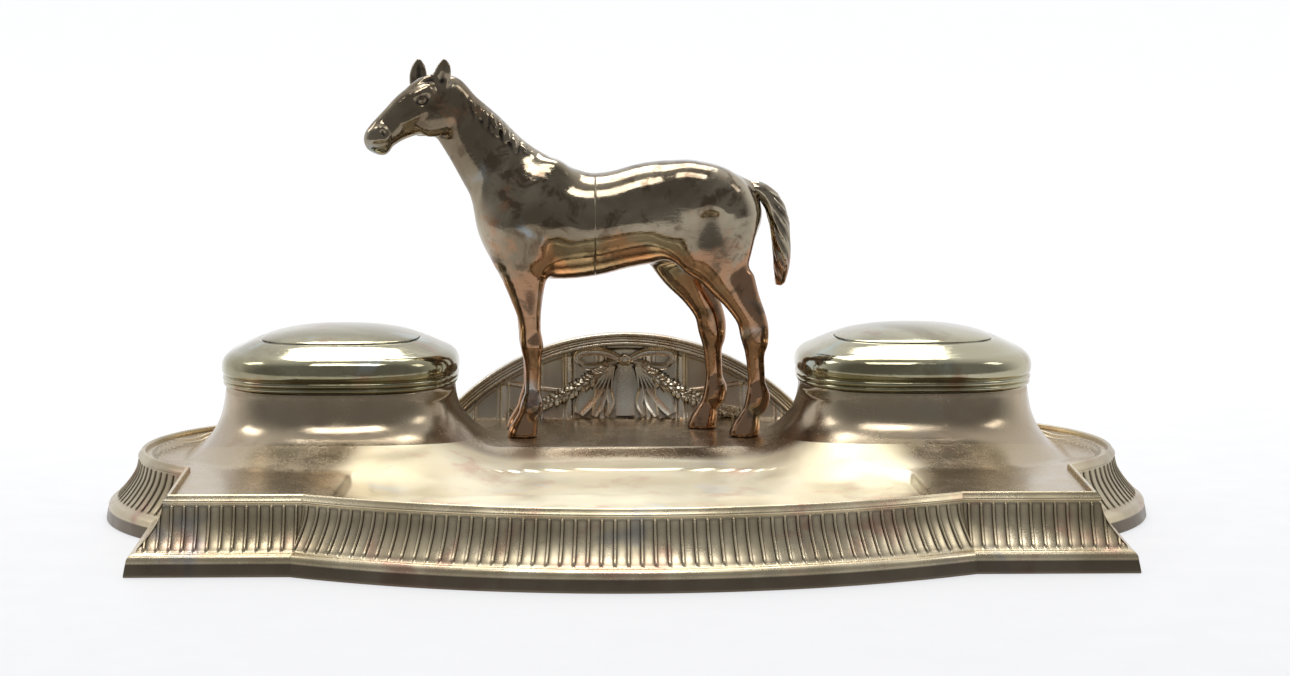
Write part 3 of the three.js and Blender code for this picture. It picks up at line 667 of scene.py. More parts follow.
def deck_height(x, y):
    """Height of the pressed deck: level sheet, pen tray, middle stage, wing dishes, well flares."""
    high = DECK_Z + (STAGE_Z - DECK_Z) * smoothstep(82 - np.abs(x), 0, 14) * smoothstep(y, -60, -22)
    # Pen tray: a slope down from the stage's edge to a level floor, with steep ends.
    top, foot = slope_back(x), tray_back(x)
    foot = np.minimum(foot, top - 1.5)
    down = np.clip((top - y) / (top - foot), 0, 1)
    down = 0.25 * down * (1 - down) + down * down * (3 - 2 * down) * 0.3 + 0.7 * down
    ends = smoothstep(TRAY_HALF + 2.0 * np.clip((-y - 60) / 70, 0, 1) - np.abs(x), -1.6, 1.6)
    level = high - (high - TRAY_FLOOR) * np.clip(down, 0, 1) * ends
    # A shallow dish pressed into the tray's floor, with a small step round it.
    dish = 1 - np.abs(x / 89.5) ** 3.4 - np.abs((y + 74 + 0.0016 * x * x) / 27.5) ** 2.6
    level = level - 0.45 * smoothstep(dish, -0.02, 0.05) - 2.3 * np.clip(dish, 0, 1) ** 0.8
    # A shallow dish round each well's outer side, inside a plain lip.
    ring = np.hypot(np.abs(x) - WING_X, y - WING_Y)
    moat = smoothstep(WING_RADIUS - MOAT_LIP - ring, 0, 1.6) * smoothstep(y, -58, -24)
    moat = moat * smoothstep(np.abs(x) - WELL_X, -38, -26)
    level = level - MOAT_DEPTH * moat
    flare = housing_height(x, y)
    inner = smoothstep(WELL_X - np.abs(x), 10, 45)
    return smooth_max(flare, level, 0.8 + 2.0 * inner)


def deck_normals(x, y):
    """Unit normals of the deck from its height's slopes."""
    step = 0.35
    dx = (deck_height(x + step, y) - deck_height(x - step, y)) / (2 * step)
    dy = (deck_height(x, y + step) - deck_height(x, y - step)) / (2 * step)
    normal = np.column_stack([-dx, -dy, np.ones_like(dx)])
    return normal / np.linalg.norm(normal, axis=1)[:, None]


def cushion_measure(points, half):
    """Under 1 inside either well's rounded square, over 1 outside."""
    dx, dy = (np.abs(points[:, 0]) - WELL_X) / half, points[:, 1] / half
    return np.abs(dx) ** CUSHION_POWER + np.abs(dy) ** CUSHION_POWER


def deck_mesh():
    """Triangles of the deck, cut out along the rim and round both housings."""
    spacing = 1.3
    loops = [outline(RIM_OVERLAP, spacing)]
    loops += [cushion_ring(0, SPLIT_HALF, SPLIT_STEPS, side * WELL_X)[:, :2] for side in (-1, 1)]
    edges, start = [], 0
    for loop in loops:
        edges += [(start + i, start + (i + 1) % len(loop)) for i in range(len(loop))]
        start += len(loop)
    xs = np.arange(-180, 180, spacing)
    ys = np.arange(-155, REAR_Y, spacing * math.sqrt(3) / 2)
    grid = np.array([(x + spacing / 2 * (i % 2), y) for i, y in enumerate(ys) for x in xs])
    margin = spacing * 0.6
    inside = inside_loop(grid, outline(RIM_OVERLAP - margin, 2 * spacing))
    inside &= cushion_measure(grid, SPLIT_HALF + margin) > 1
    points = np.vstack([*loops, grid[inside]])
    result = geometry.delaunay_2d_cdt([Vector(p) for p in points], edges, [], 2, 1e-4)
    flat = np.array([(v.x, v.y) for v in result[0]])
    triangles = np.array([list(f) for f in result[2]])
    triangles = triangles[cushion_measure(flat[triangles].mean(axis=1), SPLIT_HALF) >= 1]
    z = deck_height(flat[:, 0], flat[:, 1])
    normals = deck_normals(flat[:, 0], flat[:, 1])
    return flat, z, triangles, normals


def sheet_with_back(flat, z, triangles, normals, thickness):
    """Doubles a sheet with its underside, joined round every open edge."""
    top = np.column_stack([flat, z])
    under = top - normals * thickness
    count = len(top)
    counts = {}
    for face in triangles:
        for a, b in zip(face, np.roll(face, -1)):
            key = (min(a, b), max(a, b))
            counts[key] = None if key in counts else (a, b)
    walls = [(b, a, a + count, b + count) for pair in counts.values() if pair for a, b in [pair]]
    faces = [tuple(f) for f in triangles] + [tuple(f[::-1] + count) for f in triangles] + walls
    return np.vstack([top, under]), faces, np.vstack([normals, -normals])


def make_deck():
    vertices, faces, both = sheet_with_back(*deck_mesh(), SHEET)
    x, y = vertices[:, 0], vertices[:, 1]
    rubbed = 1 - np.abs(x / 104) ** 3 - np.abs((y + 80) / 52) ** 2.6
    piece("pressed_deck", vertices, faces, tray_silver, ["deck_plate"], normals=both,
          shade_and_tarnish=STRIP_GRIME * (1 - smoothstep(rubbed, -0.12, 0.25)))


make_deck()


def make_housing(side, name):
    """The flare from the split ring up to the mouth, turned in at the top."""
    steps, x = SPLIT_STEPS, side * WELL_X
    rings = []
    for half in np.concatenate([np.linspace(SPLIT_HALF, 45, 16)[:-1], np.linspace(45, 42, 16)[:-1],
                                np.linspace(42, HOUSING_HALF + 0.04, 14)]):
        share = (SPLIT_HALF - half) / (SPLIT_HALF - HOUSING_HALF)
        ring = cushion_ring(0, half, steps, x, widen=1 + share * (HOUSING_WIDENING - 1))
        ring[:, 2] = np.minimum(deck_height(ring[:, 0], ring[:, 1]), HOUSING_TOP)
        rings.append(ring)
    lip = [(HOUSING_HALF - 0.1, HOUSING_TOP), (HOUSING_HALF - 0.6, HOUSING_TOP + 0.1),
           (HOUSING_HALF - 1.2, HOUSING_TOP - 0.1), (HOUSING_HALF - 1.4, HOUSING_TOP - 0.6),
           (HOUSING_HALF - 1.4, 36.0), (HOUSING_HALF - 0.6, 31.0), (HOUSING_HALF + 1.0, 27.5)]
    rings += [cushion_ring(z, half, steps, x, widen=HOUSING_WIDENING) for half, z in lip]
    last = cushion_ring(0, SPLIT_HALF - 0.6, steps, x)
    last[:, 2] = deck_height(last[:, 0], last[:, 1]) - SHEET - 0.2
    rings.append(last)
    rings = np.array(rings)
    faces = grid_faces(len(rings), steps, wrap_rows=True, wrap_columns=True)
    dull = np.full(rings.shape[0] * rings.shape[1], STRIP_GRIME)
    thing = piece(name + "_well_flare", rings.reshape(-1, 3), faces, plate_silver,
                  [name + "_well_housing"], shade_and_tarnish=dull)
    weld(thing, 60, 0.000001)
    # The flare takes the deck's own normals, so that no line shows where the two meet.
    mesh = thing.data
    spots = np.array([v.co for v in mesh.vertices]) / MM - np.array([0, WELL_Y, 0])
    normals = np.array([v.normal for v in mesh.vertices])
    outer = np.abs(deck_height(spots[:, 0], spots[:, 1]) - spots[:, 2]) < 0.02
    outer &= cushion_measure(spots, 1) ** (1 / CUSHION_POWER) > HOUSING_HALF + 0.3
    normals[outer] = deck_normals(spots[outer, 0], spots[outer, 1])
    mesh.normals_split_custom_set_from_vertices([tuple(n) for n in normals])


for label, side in (("left", -1), ("right", 1)):
    make_housing(side, label)


# ------------------------------------------------------------------ lids, liners and hinges

def raised(points, z, half=0.0):
    """Profile points set out from a height, and from a half size if one is given."""
    return np.array(points) + np.array([half, z])


def lid_profile():
    """Closed (half size, z) section of a lid's shell: up from its beaded rim, over, and back inside."""
    base, top = LID_BOTTOM, LID_BOTTOM + LID_RISE
    beads = np.vstack([
        arc_points(LID_HALF - 1.35, base + 0.9, 0.9, -80, 60, 8),
        arc_points(LID_HALF - 1.35, base + 2.75, 1.15, -55, 62, 9),
    ])
    bulge = [(-0.75, 4.0), (-0.15, 5.0), (0, 6.6), (-0.25, 8.5), (-1.1, 10.3), (-2.7, 11.8), (-4.4, 12.7)]
    ogee = [(-4.9, 12.9), (-7.2, 14.0), (-9.6, 15.15), (-11.6, 15.95), (-12.5, 16.2)]
    ring = np.array([(LID_HALF - 12.7, top), (LID_HALF - 13.2, top), (26.5, top), (26.5, top - 1.3)])
    inner = [(-8.6, 12.1), (-4.4, 11.0), (-2.4, 9.2), (-1.6, 6.6), (-2.6, 2.0), (-2.6, 0.2)]
    inner = np.vstack([(LID_HALF - 14.0, top - 1.9), raised(inner, base, LID_HALF)])
    return np.vstack([beads, smooth_path(raised(bulge, base, LID_HALF), 5),
                      smooth_path(raised(ogee, base, LID_HALF), 5), ring, smooth_path(inner, 3)])


def make_lid(side, name):
    lid = name + "_lid"
    vertices, faces = cushion_lathe(lid_profile(), side * WELL_X, widen=LID_WIDENING)
    shell = piece(name + "_lid_body", vertices, faces, lid_silver, [name + "_lid_shell"],
                  body=lid)
    weld(shell, 42)
    base = box_mm(name + "_lid_dome")[0][2]
    crown = [(0.02, 4.5), (5, 4.42), (10, 4.15), (15, 3.65), (20, 2.85), (24.5, 1.85), (27.5, 0.95),
             (29.0, 0.35)]
    under = [(29.3, 0.1), (29.2, 0), (28.0, 0), (24, 0.8), (15, 2.6), (0.02, 3.4)]
    profile = np.vstack([smooth_path(raised(crown, base), 3), raised(under, base)])
    # The crown is rounder in plan towards its middle.
    rings = [cushion_ring(z, half, RING_STEPS, side * WELL_X, 2.3 + 0.3 * half / 30) for half, z in profile]
    faces = grid_faces(len(profile), RING_STEPS, wrap_rows=True, wrap_columns=True)
    dome = piece(name + "_lid_crown", np.vstack(rings), faces, lid_silver, [name + "_lid_dome"],
                 body=lid)
    weld(dome, 42)


def make_liner(side, name):
    low, high = box_mm(name + "_glass_liner")
    outside = raised([(0.02, 0), (25, 0), (28.5, 0.8), (30, 3)], low[2])
    flange = raised([(30, -1.9), (32.6, -1.7), (33.4, -1.2), (33.4, -0.5), (32.8, 0), (27, 0), (25.6, -0.6),
                     (25.2, -2)], high[2])
    inside = raised([(25.2, 9), (24, 5.5), (20, 4.2), (0.02, 4)], low[2])
    vertices, faces = cushion_lathe(np.vstack([outside, flange, inside]), side * WELL_X)
    weld(piece(name + "_ink_glass", vertices, faces, liner_glass, [name + "_glass_liner"]), 50)
    ink = [(0.02, 4.3), (19.6, 4.5), (23.7, 5.9), (24.8, 9), (24.9, 15), (24.0, 14.6), (0.02, 14.4)]
    vertices, faces = cushion_lathe(raised(ink, low[2]), side * WELL_X, 96)
    weld(piece(name + "_ink", vertices, faces, dried_ink), 50)


def make_collar(side, name):
    low, high = box_mm(name + "_liner_collar")
    half = (high[0] - low[0]) / 2
    profile = [(half, high[2]), (31.6, high[2]), (31.0, high[2] - 0.4), (31.0, low[2]), (half, low[2])]
    vertices, faces = cushion_lathe(profile, side * WELL_X)
    weld(piece(name + "_collar_ring", vertices, faces, brass, [name + "_liner_collar"]), 30)


for label, side in (("left", -1), ("right", 1)):
    make_lid(side, label)
    make_liner(side, label)
    make_collar(side, label)


def finish_carried(nodes, material):
    """Gives CAD nodes that stay on show their better material."""
    for node in nodes:
        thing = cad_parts[node]
        for slot in thing.material_slots:
            slot.material = material


finish_carried(["left_hinge_body_leaf", "right_hinge_body_leaf"], plate_silver)
finish_carried(["left_hinge_lid_leaf", "right_hinge_lid_leaf"], lid_silver)
finish_carried(["left_hinge_pin", "right_hinge_pin"], brass)


# ------------------------------------------------------------------ gallery

ARCH_CENTRE = GALLERY_TOP - GALLERY_RADIUS
ARCH_FOOT = 22.0
PANEL_PITCH = 13.0                # upright panels in the gallery's field
FIELD_SHEET = 1.0


def make_gallery_rim():
    """A reeded moulding carried round the arch."""
    reeds = []
    for centre, radius in ((-0.75, 0.75), (-2.0, 0.5), (-3.05, 0.5), (-4.3, 0.7)):
        reeds.append(arc_points(centre, 0.3, radius, 10, 170, 8) * np.array([1, -1]) + np.array([0, 0.5]))
    front = np.vstack(reeds)
    back = np.array([(-5.1, 0.6), (-5.1, 4.6), (-4.6, 5.1), (-0.6, 5.1), (0.0, 4.6), (0.0, 0.7)])
    section = np.vstack([front, back])
    start = math.degrees(math.asin((ARCH_FOOT - ARCH_CENTRE) / GALLERY_RADIUS))
    angles = np.radians(np.linspace(start, 180 - start, 121))
    radius = GALLERY_RADIUS + section[:, 0]
    x = radius[None, :] * np.cos(angles)[:, None]
    z = ARCH_CENTRE + radius[None, :] * np.sin(angles)[:, None]
    y = GALLERY_Y + section[None, :, 1] + 0 * x
    vertices = np.stack([x, y, z], axis=-1)
    count = len(section)
    faces = [tuple(f) for f in grid_faces(len(angles), count, wrap_columns=True)]
    faces.append(tuple(range(count)))
    faces.append(tuple((len(angles) - 1) * count + i for i in reversed(range(count))))
    # Painted shade in the grooves between the reeds.
    mask = np.tile(np.clip(0.4 + section[:, 1] * 1.5, 0, 0.8) * (section[:, 1] < 0.55), len(angles))
    thing = piece("gallery_moulding", vertices.reshape(-1, 3), faces, gallery_silver,
                  ["gallery_rim"], shade_and_tarnish=mask)
    weld(thing, 40)


def cove_depth(z):
    """How far the hollow field stands behind its moulding's face, before its panels."""
    rise = np.clip((z - ARCH_FOOT) / 26, 0, 1)
    return 4.2 - 6.5 * (1 - rise) ** 2.6


def field_depth(x, z):
    """The field's depth with its upright panels, edge line and ledge."""
    half = PANEL_PITCH / 2
    across = np.abs((np.abs(x) + 3.6) % PANEL_PITCH - half)
    post = smoothstep(across, half - 1.5, half - 0.9)
    slim = smoothstep(across, half - 2.6, half - 2.3) * smoothstep(-across, -(half - 1.7), -(half - 2.0))
    edge = GALLERY_RADIUS - 5.1 - np.hypot(x, z - ARCH_CENTRE)
    frame_line = 1 - smoothstep(edge, 1.2, 1.9)
    ledge = 1 - smoothstep(np.abs(z - 33.5 - 0.002 * x * x), 0.5, 0.9)
    return cove_depth(z) - 0.7 * post - 0.35 * slim - 0.5 * frame_line - 0.45 * ledge * (np.abs(x) > 18)


def make_gallery_field():
    radius = GALLERY_RADIUS - 5.0
    columns, rows = ((300, 90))
    half = math.sqrt(radius ** 2 - (ARCH_FOOT - ARCH_CENTRE) ** 2)
    u = np.linspace(-1, 1, columns)
    v = np.linspace(0, 1, rows)
    x = np.repeat((u * half)[:, None], rows, axis=1)
    top = ARCH_CENTRE + np.sqrt(np.maximum(radius ** 2 - x ** 2, 0))
    z = ARCH_FOOT + (top - ARCH_FOOT) * v[None, :]
    depth = field_depth(x, z)
    front = np.stack([x, GALLERY_Y + depth, z], axis=-1).reshape(-1, 3)
    back = front + np.array([0, FIELD_SHEET, 0])
    count = len(front)
    quads = grid_faces(columns, rows)
    faces = [tuple(f) for f in quads] + [tuple(f[::-1] + count) for f in quads]
    foot = [i * rows for i in range(columns)]
    faces += [(b, a, a + count, b + count) for a, b in zip(foot[:-1], foot[1:])]
    crown = [i * rows + rows - 1 for i in range(columns)]
    faces += [(a, b, b + count, a + count) for a, b in zip(crown[:-1], crown[1:])]
    # Painted shade: darker on the sunken field than on its raised uprights, darkest by the moulding's edge.
    shade = np.clip(0.35 - (cove_depth(z) - depth) * 0.9, 0, 0.6).reshape(-1)
    edge = np.clip(1 - (radius - np.hypot(front[:, 0], front[:, 2] - ARCH_CENTRE)) / 2.0, 0, 1)
    shade = np.maximum(shade, 0.8 * edge)
    thing = piece("gallery_field", np.vstack([front, back]), faces, gallery_silver,
                  ["gallery_plate"], shade_and_tarnish=np.concatenate([shade, 0 * shade]))
    weld(thing, 60, 0.000002)


def on_field(points, proud):
    """Relief path points (x, z) set in front of the field."""
    points = np.asarray(points, dtype=float)
    y = GALLERY_Y + field_depth(0 * points[:, 0] + 6.5, points[:, 1]) - proud
    return np.column_stack([points[:, 0], y, points[:, 1]])


def capped_faces(rows, count):
    """Faces of a closed tube of rows rings, with both ends filled."""
    faces = [tuple(f) for f in grid_faces(rows, count, wrap_columns=True)]
    faces.append(tuple(reversed(range(count))))
    faces.append(tuple((rows - 1) * count + i for i in range(count)))
    return faces


def ribbon_strip(points, widths, proud, cup=0.0, thickness=0.7, steps=6):
    """A flat strip along a path in the gallery's face; cup raises its two edges."""
    path = smooth_path(points, steps)
    wide = smooth_path(np.asarray(widths)[:, None], steps)[:, 0]
    travel = np.gradient(path, axis=0)
    travel /= np.linalg.norm(travel, axis=1)[:, None]
    across = np.column_stack([-travel[:, 1], travel[:, 0]])
    shares = np.linspace(-1, 1, 9)
    rings = []
    for centre, direction, half in zip(path, across, wide / 2):
        line = centre + np.outer(shares * half, direction)
        placed = on_field(line, proud)
        placed[:, 1] -= cup * shares ** 2 - cup * 0.3
        behind = placed + np.array([0, thickness, 0])
        rings.append(np.vstack([placed, behind[::-1]]))
    return np.vstack(rings), capped_faces(len(rings), len(rings[0]))


def leaf(x, z, angle, length, width, proud):
    """A pointed, ridged leaf lying on the gallery's field."""
    shares = np.linspace(0, 1, 7)
    widths = width * np.sin(np.pi * np.clip(shares, 0.04, 0.97)) ** 0.8
    direction = np.array([math.cos(angle), math.sin(angle)])
    side = np.array([-direction[1], direction[0]])
    rings = []
    for share, wide in zip(shares, widths):
        centre = np.array([x, z]) + direction * length * share
        line = np.array([centre - side * wide / 2, centre, centre + side * wide / 2])
        placed = on_field(line, proud)
        placed[:, 1] -= np.array([0.0, 0.55, 0.0]) + 0.5 * math.sin(math.pi * share)
        rings.append(np.vstack([placed, placed[1] + np.array([0, 1.6, 0])]))
    return np.vstack(rings), capped_faces(len(rings), len(rings[0]))


def mirror_x(part):
    """A part and its faces, turned to the other side of the middle."""
    vertices, faces = part
    return vertices * np.array([-1, 1, 1]), [tuple(reversed(f)) for f in faces]


def relief_piece(name, parts, replaces):
    vertices, faces = joined(parts)
    low, high = vertices[:, 1].min(), vertices[:, 1].max()
    # Painted shade: the relief is darker towards the field behind it.
    shade = np.clip((vertices[:, 1] - low) / (high - low + 1e-6) - 0.45, 0, 0.7)
    thing = piece(name, vertices, faces, gallery_silver, replaces, shade_and_tarnish=shade)
    weld(thing, 50, 0.000002)


def make_relief():
    upper = ribbon_strip([(1.5, 47.2), (6, 49.6), (12, 51), (17.5, 50.2), (19, 47.8), (16.5, 45.6)],
                         [2.2, 3.0, 3.6, 3.4, 2.6, 1.6], 2.4, 0.7)
    lower = ribbon_strip([(1.5, 46.8), (6, 46.0), (11, 44.6), (16, 44.6), (18.5, 46.2)],
                         [2.0, 2.6, 2.8, 2.4, 1.4], 1.5, 0.6)
    spine = on_field([(0, 44.9), (0, 46.2), (0, 48.2), (0, 49.4)], 2.4)
    knot = loft_tube(spine, [1.2, 2.5, 2.6, 1.3], 16, 0.7)
    relief_piece("ribbon_bow_relief", [upper, lower, mirror_x(upper), mirror_x(lower), knot], ["ribbon_bow"])

    band = ribbon_strip([(0, 46), (0, 42), (0, 36), (0, 30), (0, 25.4)], [6.4, 6.6, 6.8, 7.2, 7.6], 1.6, -0.5)
    left = []
    blades = ((-18.5, 26.0, -3.4, 7.5), (-12.5, 25.2, -3.8, 5.0), (-7.6, 25.2, -4.0, 3.4))
    for tip_x, tip_z, start_x, wide in blades:
        path = [(start_x, 45), ((start_x * 2 + tip_x) / 3, 40.5), ((tip_x + start_x) / 2 - 1.0, 36.5),
                (tip_x + 2.0, 30), (tip_x, tip_z)]
        left.append(ribbon_strip(path, [1.6, wide * 0.55, wide, wide * 0.9, wide * 0.5], 1.2, 1.0))
    for i in range(5):
        path = [(-4.2 - 0.5 * i, 44.5), (-5.0 - 1.0 * i, 40.5), (-5.4 - 1.8 * i, 36)]
        left.append(ribbon_strip(path, [0.5, 0.8, 0.5], 2.2))
    relief_piece("leaf_fan_relief", [band, *left, *[mirror_x(p) for p in left]], ["leaf_fan"])

    swag = smooth_path([(-4.5, 44.8), (-10.5, 41.0), (-16.5, 37.4), (-24, 33.5), (-32, 30.2), (-39, 27.8),
                        (-44, 26.4)], 5)
    stem = on_field(swag, 0.9)
    parts = [loft_tube(stem, np.linspace(1.1, 0.5, len(stem)), 8)]
    for i, (x, z) in enumerate(swag[1:-1]):
        size = 1.0 - 0.35 * (i / len(swag))
        for turn in (-0.9, -0.35, 0.35, 0.9):
            jitter = rng.uniform(-0.2, 0.2)
            parts.append(leaf(x, z, math.radians(207) + turn + jitter, 4.6 * size, 1.9 * size,
                              0.7 + rng.uniform(0, 0.8)))
    relief_piece("left_garland_relief", parts, ["left_garland"])
    relief_piece("right_garland_relief", [mirror_x(p) for p in parts], ["right_garland"])


make_gallery_rim()
make_gallery_field()
make_relief()


# ------------------------------------------------------------------ horse

HOOF_SPREAD = 11                  # from the horse's middle to each hoof's
HEAD_PIVOT = (-66.0, HORSE_Y)     # the head is turned here, towards the front
HEAD_ANGLE = math.radians(30)
QUAD_EDGES = ((0, 1), (1, 2), (2, 3), (3, 0))


def head_x(x):
    """Stretches the seen length of the turned head back to its own."""
    return HEAD_PIVOT[0] + (x - HEAD_PIVOT[0]) / math.cos(HEAD_ANGLE)


class Clay:
    """A signed field on a grid: limbs are blended in, and the zero surface is taken out as a mesh."""

    def __init__(self, low, high, pitch):
        self.low, self.pitch = np.array(low, float), pitch
        self.axes = [np.arange(a, b + pitch, pitch, dtype=np.float32) for a, b in zip(low, high)]
        self.values = np.full([len(a) for a in self.axes], 12.0, dtype=np.float32)

    def window(self, low, high):
        cuts = []
        for axis, a, b in zip(self.axes, low, high):
            cuts.append(slice(max(0, int(np.searchsorted(axis, a))), int(np.searchsorted(axis, b)) + 1))
        x, y, z = (axis[cut] for axis, cut in zip(self.axes, cuts))
        return tuple(cuts), x[:, None, None], y[None, :, None], z[None, None, :]

    def limb(self, stations, blend, y=HORSE_Y, side=1, x=0.0, steps=4, carve=False, head=False):
        """Blends in a limb, or carves it out.

        Its rows are x, z, radius in the xz plane, radius along y and, where it isn't 0, the distance from y
        towards side. head turns the limb with the head, whose x is given as seen from the front.
        """
        rows = []
        for row in stations:
            along = head_x(row[0]) if head else x + row[0]
            rows.append((along, *row[1:4], y + side * (row[4] if len(row) > 4 else 0)))
        rows = smooth_path(rows, steps)
        reach = np.maximum(rows[:, 2], rows[:, 3]).max() + blend + 2 * self.pitch
        lows = [rows[:, i].min() - reach for i in (0, 4, 1)]
        highs = [rows[:, i].max() + reach for i in (0, 4, 1)]
        if head:
            lows[0], lows[1] = lows[0] - 8, lows[1] - 26
            highs[0], highs[1] = highs[0] + 8, highs[1] + 10
        cuts, x, y, z = self.window(lows, highs)
        if head:
            px, py = HEAD_PIVOT
            c, s = math.cos(HEAD_ANGLE), math.sin(HEAD_ANGLE)
            x, y = px + c * (x - px) + s * (y - py), py - s * (x - px) + c * (y - py)
        best = None
        for a, b in zip(rows[:-1], rows[1:]):
            ab = b - a
            length = float(ab[0] ** 2 + ab[1] ** 2) + 1e-9
            t = np.clip(((x - a[0]) * ab[0] + (z - a[1]) * ab[1]) / length, 0, 1)
            flat = (x - a[0] - t * ab[0]) ** 2 + (z - a[1] - t * ab[1]) ** 2
            tall, wide = a[2] + t * ab[2], a[3] + t * ab[3]
            ratio = np.sqrt(flat / tall ** 2 + ((y - a[4] - t * ab[4]) / wide) ** 2)
            distance = (ratio - 1) * np.minimum(tall, wide)
            best = distance if best is None else np.minimum(best, distance)
        old = self.values[cuts]
        if carve:
            h = np.clip(0.5 - 0.5 * (old + best) / blend, 0, 1)
            self.values[cuts] = old * (1 - h) - best * h + blend * h * (1 - h)
        else:
            h = np.clip(0.5 + 0.5 * (best - old) / blend, 0, 1)
            self.values[cuts] = best * (1 - h) + old * h - blend * h * (1 - h)

    def soften(self):
        """Blurs the field by one step along each axis."""
        for axis in range(3):
            v = self.values
            ahead, behind = np.roll(v, -1, axis), np.roll(v, 1, axis)
            self.values = (0.5 * v + 0.25 * (ahead + behind)).astype(np.float32)

    def floor(self, z):
        """Cuts the clay off below a height."""
        self.values = np.maximum(self.values, (z - self.axes[2])[None, None, :])

    def mesh(self):
        """Surface nets: one vertex in each crossed cell, one quad on each crossed edge."""
        inside = self.values < 0
        shape = np.array(inside.shape) - 1
        total = np.zeros((*shape, 3), dtype=np.float32)
        hits = np.zeros(shape, dtype=np.float32)
        corners = [(i, j, k) for i in (0, 1) for j in (0, 1) for k in (0, 1)]
        cut = lambda grid, c: grid[c[0]:c[0] + shape[0], c[1]:c[1] + shape[1], c[2]:c[2] + shape[2]]
        for a in corners:
            for axis in range(3):
                if a[axis]:
                    continue
                b = tuple(v + 1 if i == axis else v for i, v in enumerate(a))
                va, vb = cut(self.values, a), cut(self.values, b)
                crossed = cut(inside, a) != cut(inside, b)
                t = np.where(crossed, va / np.where(crossed, va - vb, 1), 0)
                for i in range(3):
                    total[..., i] += np.where(crossed, a[i] + (t if i == axis else 0), 0)
                hits += crossed
        cells = hits > 0
        index = np.full(shape, -1, dtype=np.int64)
        index[cells] = np.arange(cells.sum())
        where = np.argwhere(cells)
        vertices = self.low + (where + total[cells] / hits[cells][:, None]) * self.pitch
        faces = []
        for axis in range(3):
            u, w = (axis + 1) % 3, (axis + 2) % 3
            ahead = np.roll(inside, -1, axis)
            crossed = inside != ahead
            spots = np.argwhere(crossed)
            good = (spots[:, axis] < shape[axis]) & (spots[:, u] > 0) & (spots[:, w] > 0)
            good &= (spots[:, u] < shape[u]) & (spots[:, w] < shape[w])
            spots = spots[good]
            quad = []
            for du, dw in ((0, 0), (-1, 0), (-1, -1), (0, -1)):
                cell = spots.copy()
                cell[:, u] += du
                cell[:, w] += dw
                quad.append(index[cell[:, 0], cell[:, 1], cell[:, 2]])
            quad = np.column_stack(quad)
            flipped = ~inside[spots[:, 0], spots[:, 1], spots[:, 2]]
            quad[flipped] = quad[flipped][:, ::-1]
            faces.append(quad)
        return vertices, np.vstack(faces)


def fore_leg(clay, x, side):
    """A fore leg whose cannon stands at x, from the hoof up into the chest."""
    at = {"y": HORSE_Y + side * HOOF_SPREAD, "side": side, "x": x}
    clay.limb([(-0.5, 35, 3.5, 3.2), (-0.1, 42, 3.0, 2.7), (0, 52, 3.2, 2.8), (-0.5, 58.5, 4.1, 3.7),
               (-0.9, 63, 4.0, 3.6), (-1.4, 71, 4.6, 4.1), (-2.5, 80, 6.8, 5.2, -1), (-3.4, 90, 9.4, 6.4, -2),
               (-3, 101, 9.5, 6.2, -3.2)], 3.0, **at)
    clay.limb([(0.8, 58.6, 2.6, 2.6), (0.8, 61.5, 2.3, 2.4)], 2.0, **at)
    # Fetlock, pastern, hoof and its front.
    clay.limb([(-0.2, 36.5, 4.1, 3.9), (-0.5, 34.6, 3.9, 3.7)], 2.0, **at)
    clay.limb([(-1.4, 34, 3.3, 3.1), (-2.9, 30.5, 3.4, 3.5)], 2.0, **at)
    clay.limb([(-3.2, 30, 3.8, 4.0), (-4.2, 25.8, 5.3, 5.1), (-4.5, 22, 5.9, 5.5)], 1.2, **at)
    clay.limb([(-0.5, 29, 2.4, 3.2), (-1.2, 25.8, 2.6, 4.0), (-1.6, 22, 2.6, 4.2)], 1.2, **at)


def hind_leg(clay, x, side):
    """A hind leg whose cannon stands at x, from the hoof up through hock and gaskin."""
    at = {"y": HORSE_Y + side * HOOF_SPREAD, "side": side, "x": x}
    clay.limb([(0.9, 37, 3.6, 3.3), (0.4, 46, 3.3, 2.8), (-0.3, 56, 3.7, 3.1), (-0.9, 63, 5.0, 4.0),
               (-2.3, 70, 5.4, 4.4), (-7.0, 78, 6.4, 5.0, -0.6), (-12.5, 87, 9.0, 6.4, -1.6),
               (-15.5, 97, 12.5, 7.6, -2.6)], 3.5, **at)
    # Point of the hock, and the tendon above it.
    clay.limb([(1.2, 60, 2.8, 2.6), (1.8, 66, 2.3, 2.2), (-0.6, 74, 2.2, 2.0), (-3.5, 84, 3.0, 2.4)],
              3.0, **at)
    # Fetlock, pastern, hoof and its front.
    clay.limb([(1.2, 39.5, 4.3, 4.0), (0.6, 37, 4.0, 3.8)], 2.0, **at)
    clay.limb([(-0.2, 36, 3.4, 3.2), (-2.4, 31.5, 3.5, 3.5)], 2.0, **at)
    clay.limb([(-2.8, 30.5, 3.9, 4.0), (-4.2, 26, 5.4, 5.1), (-4.6, 22, 6.0, 5.5)], 1.2, **at)
    clay.limb([(-0.4, 29.5, 2.4, 3.2), (-1.2, 26, 2.6, 4.0), (-1.7, 22, 2.6, 4.2)], 1.2, **at)


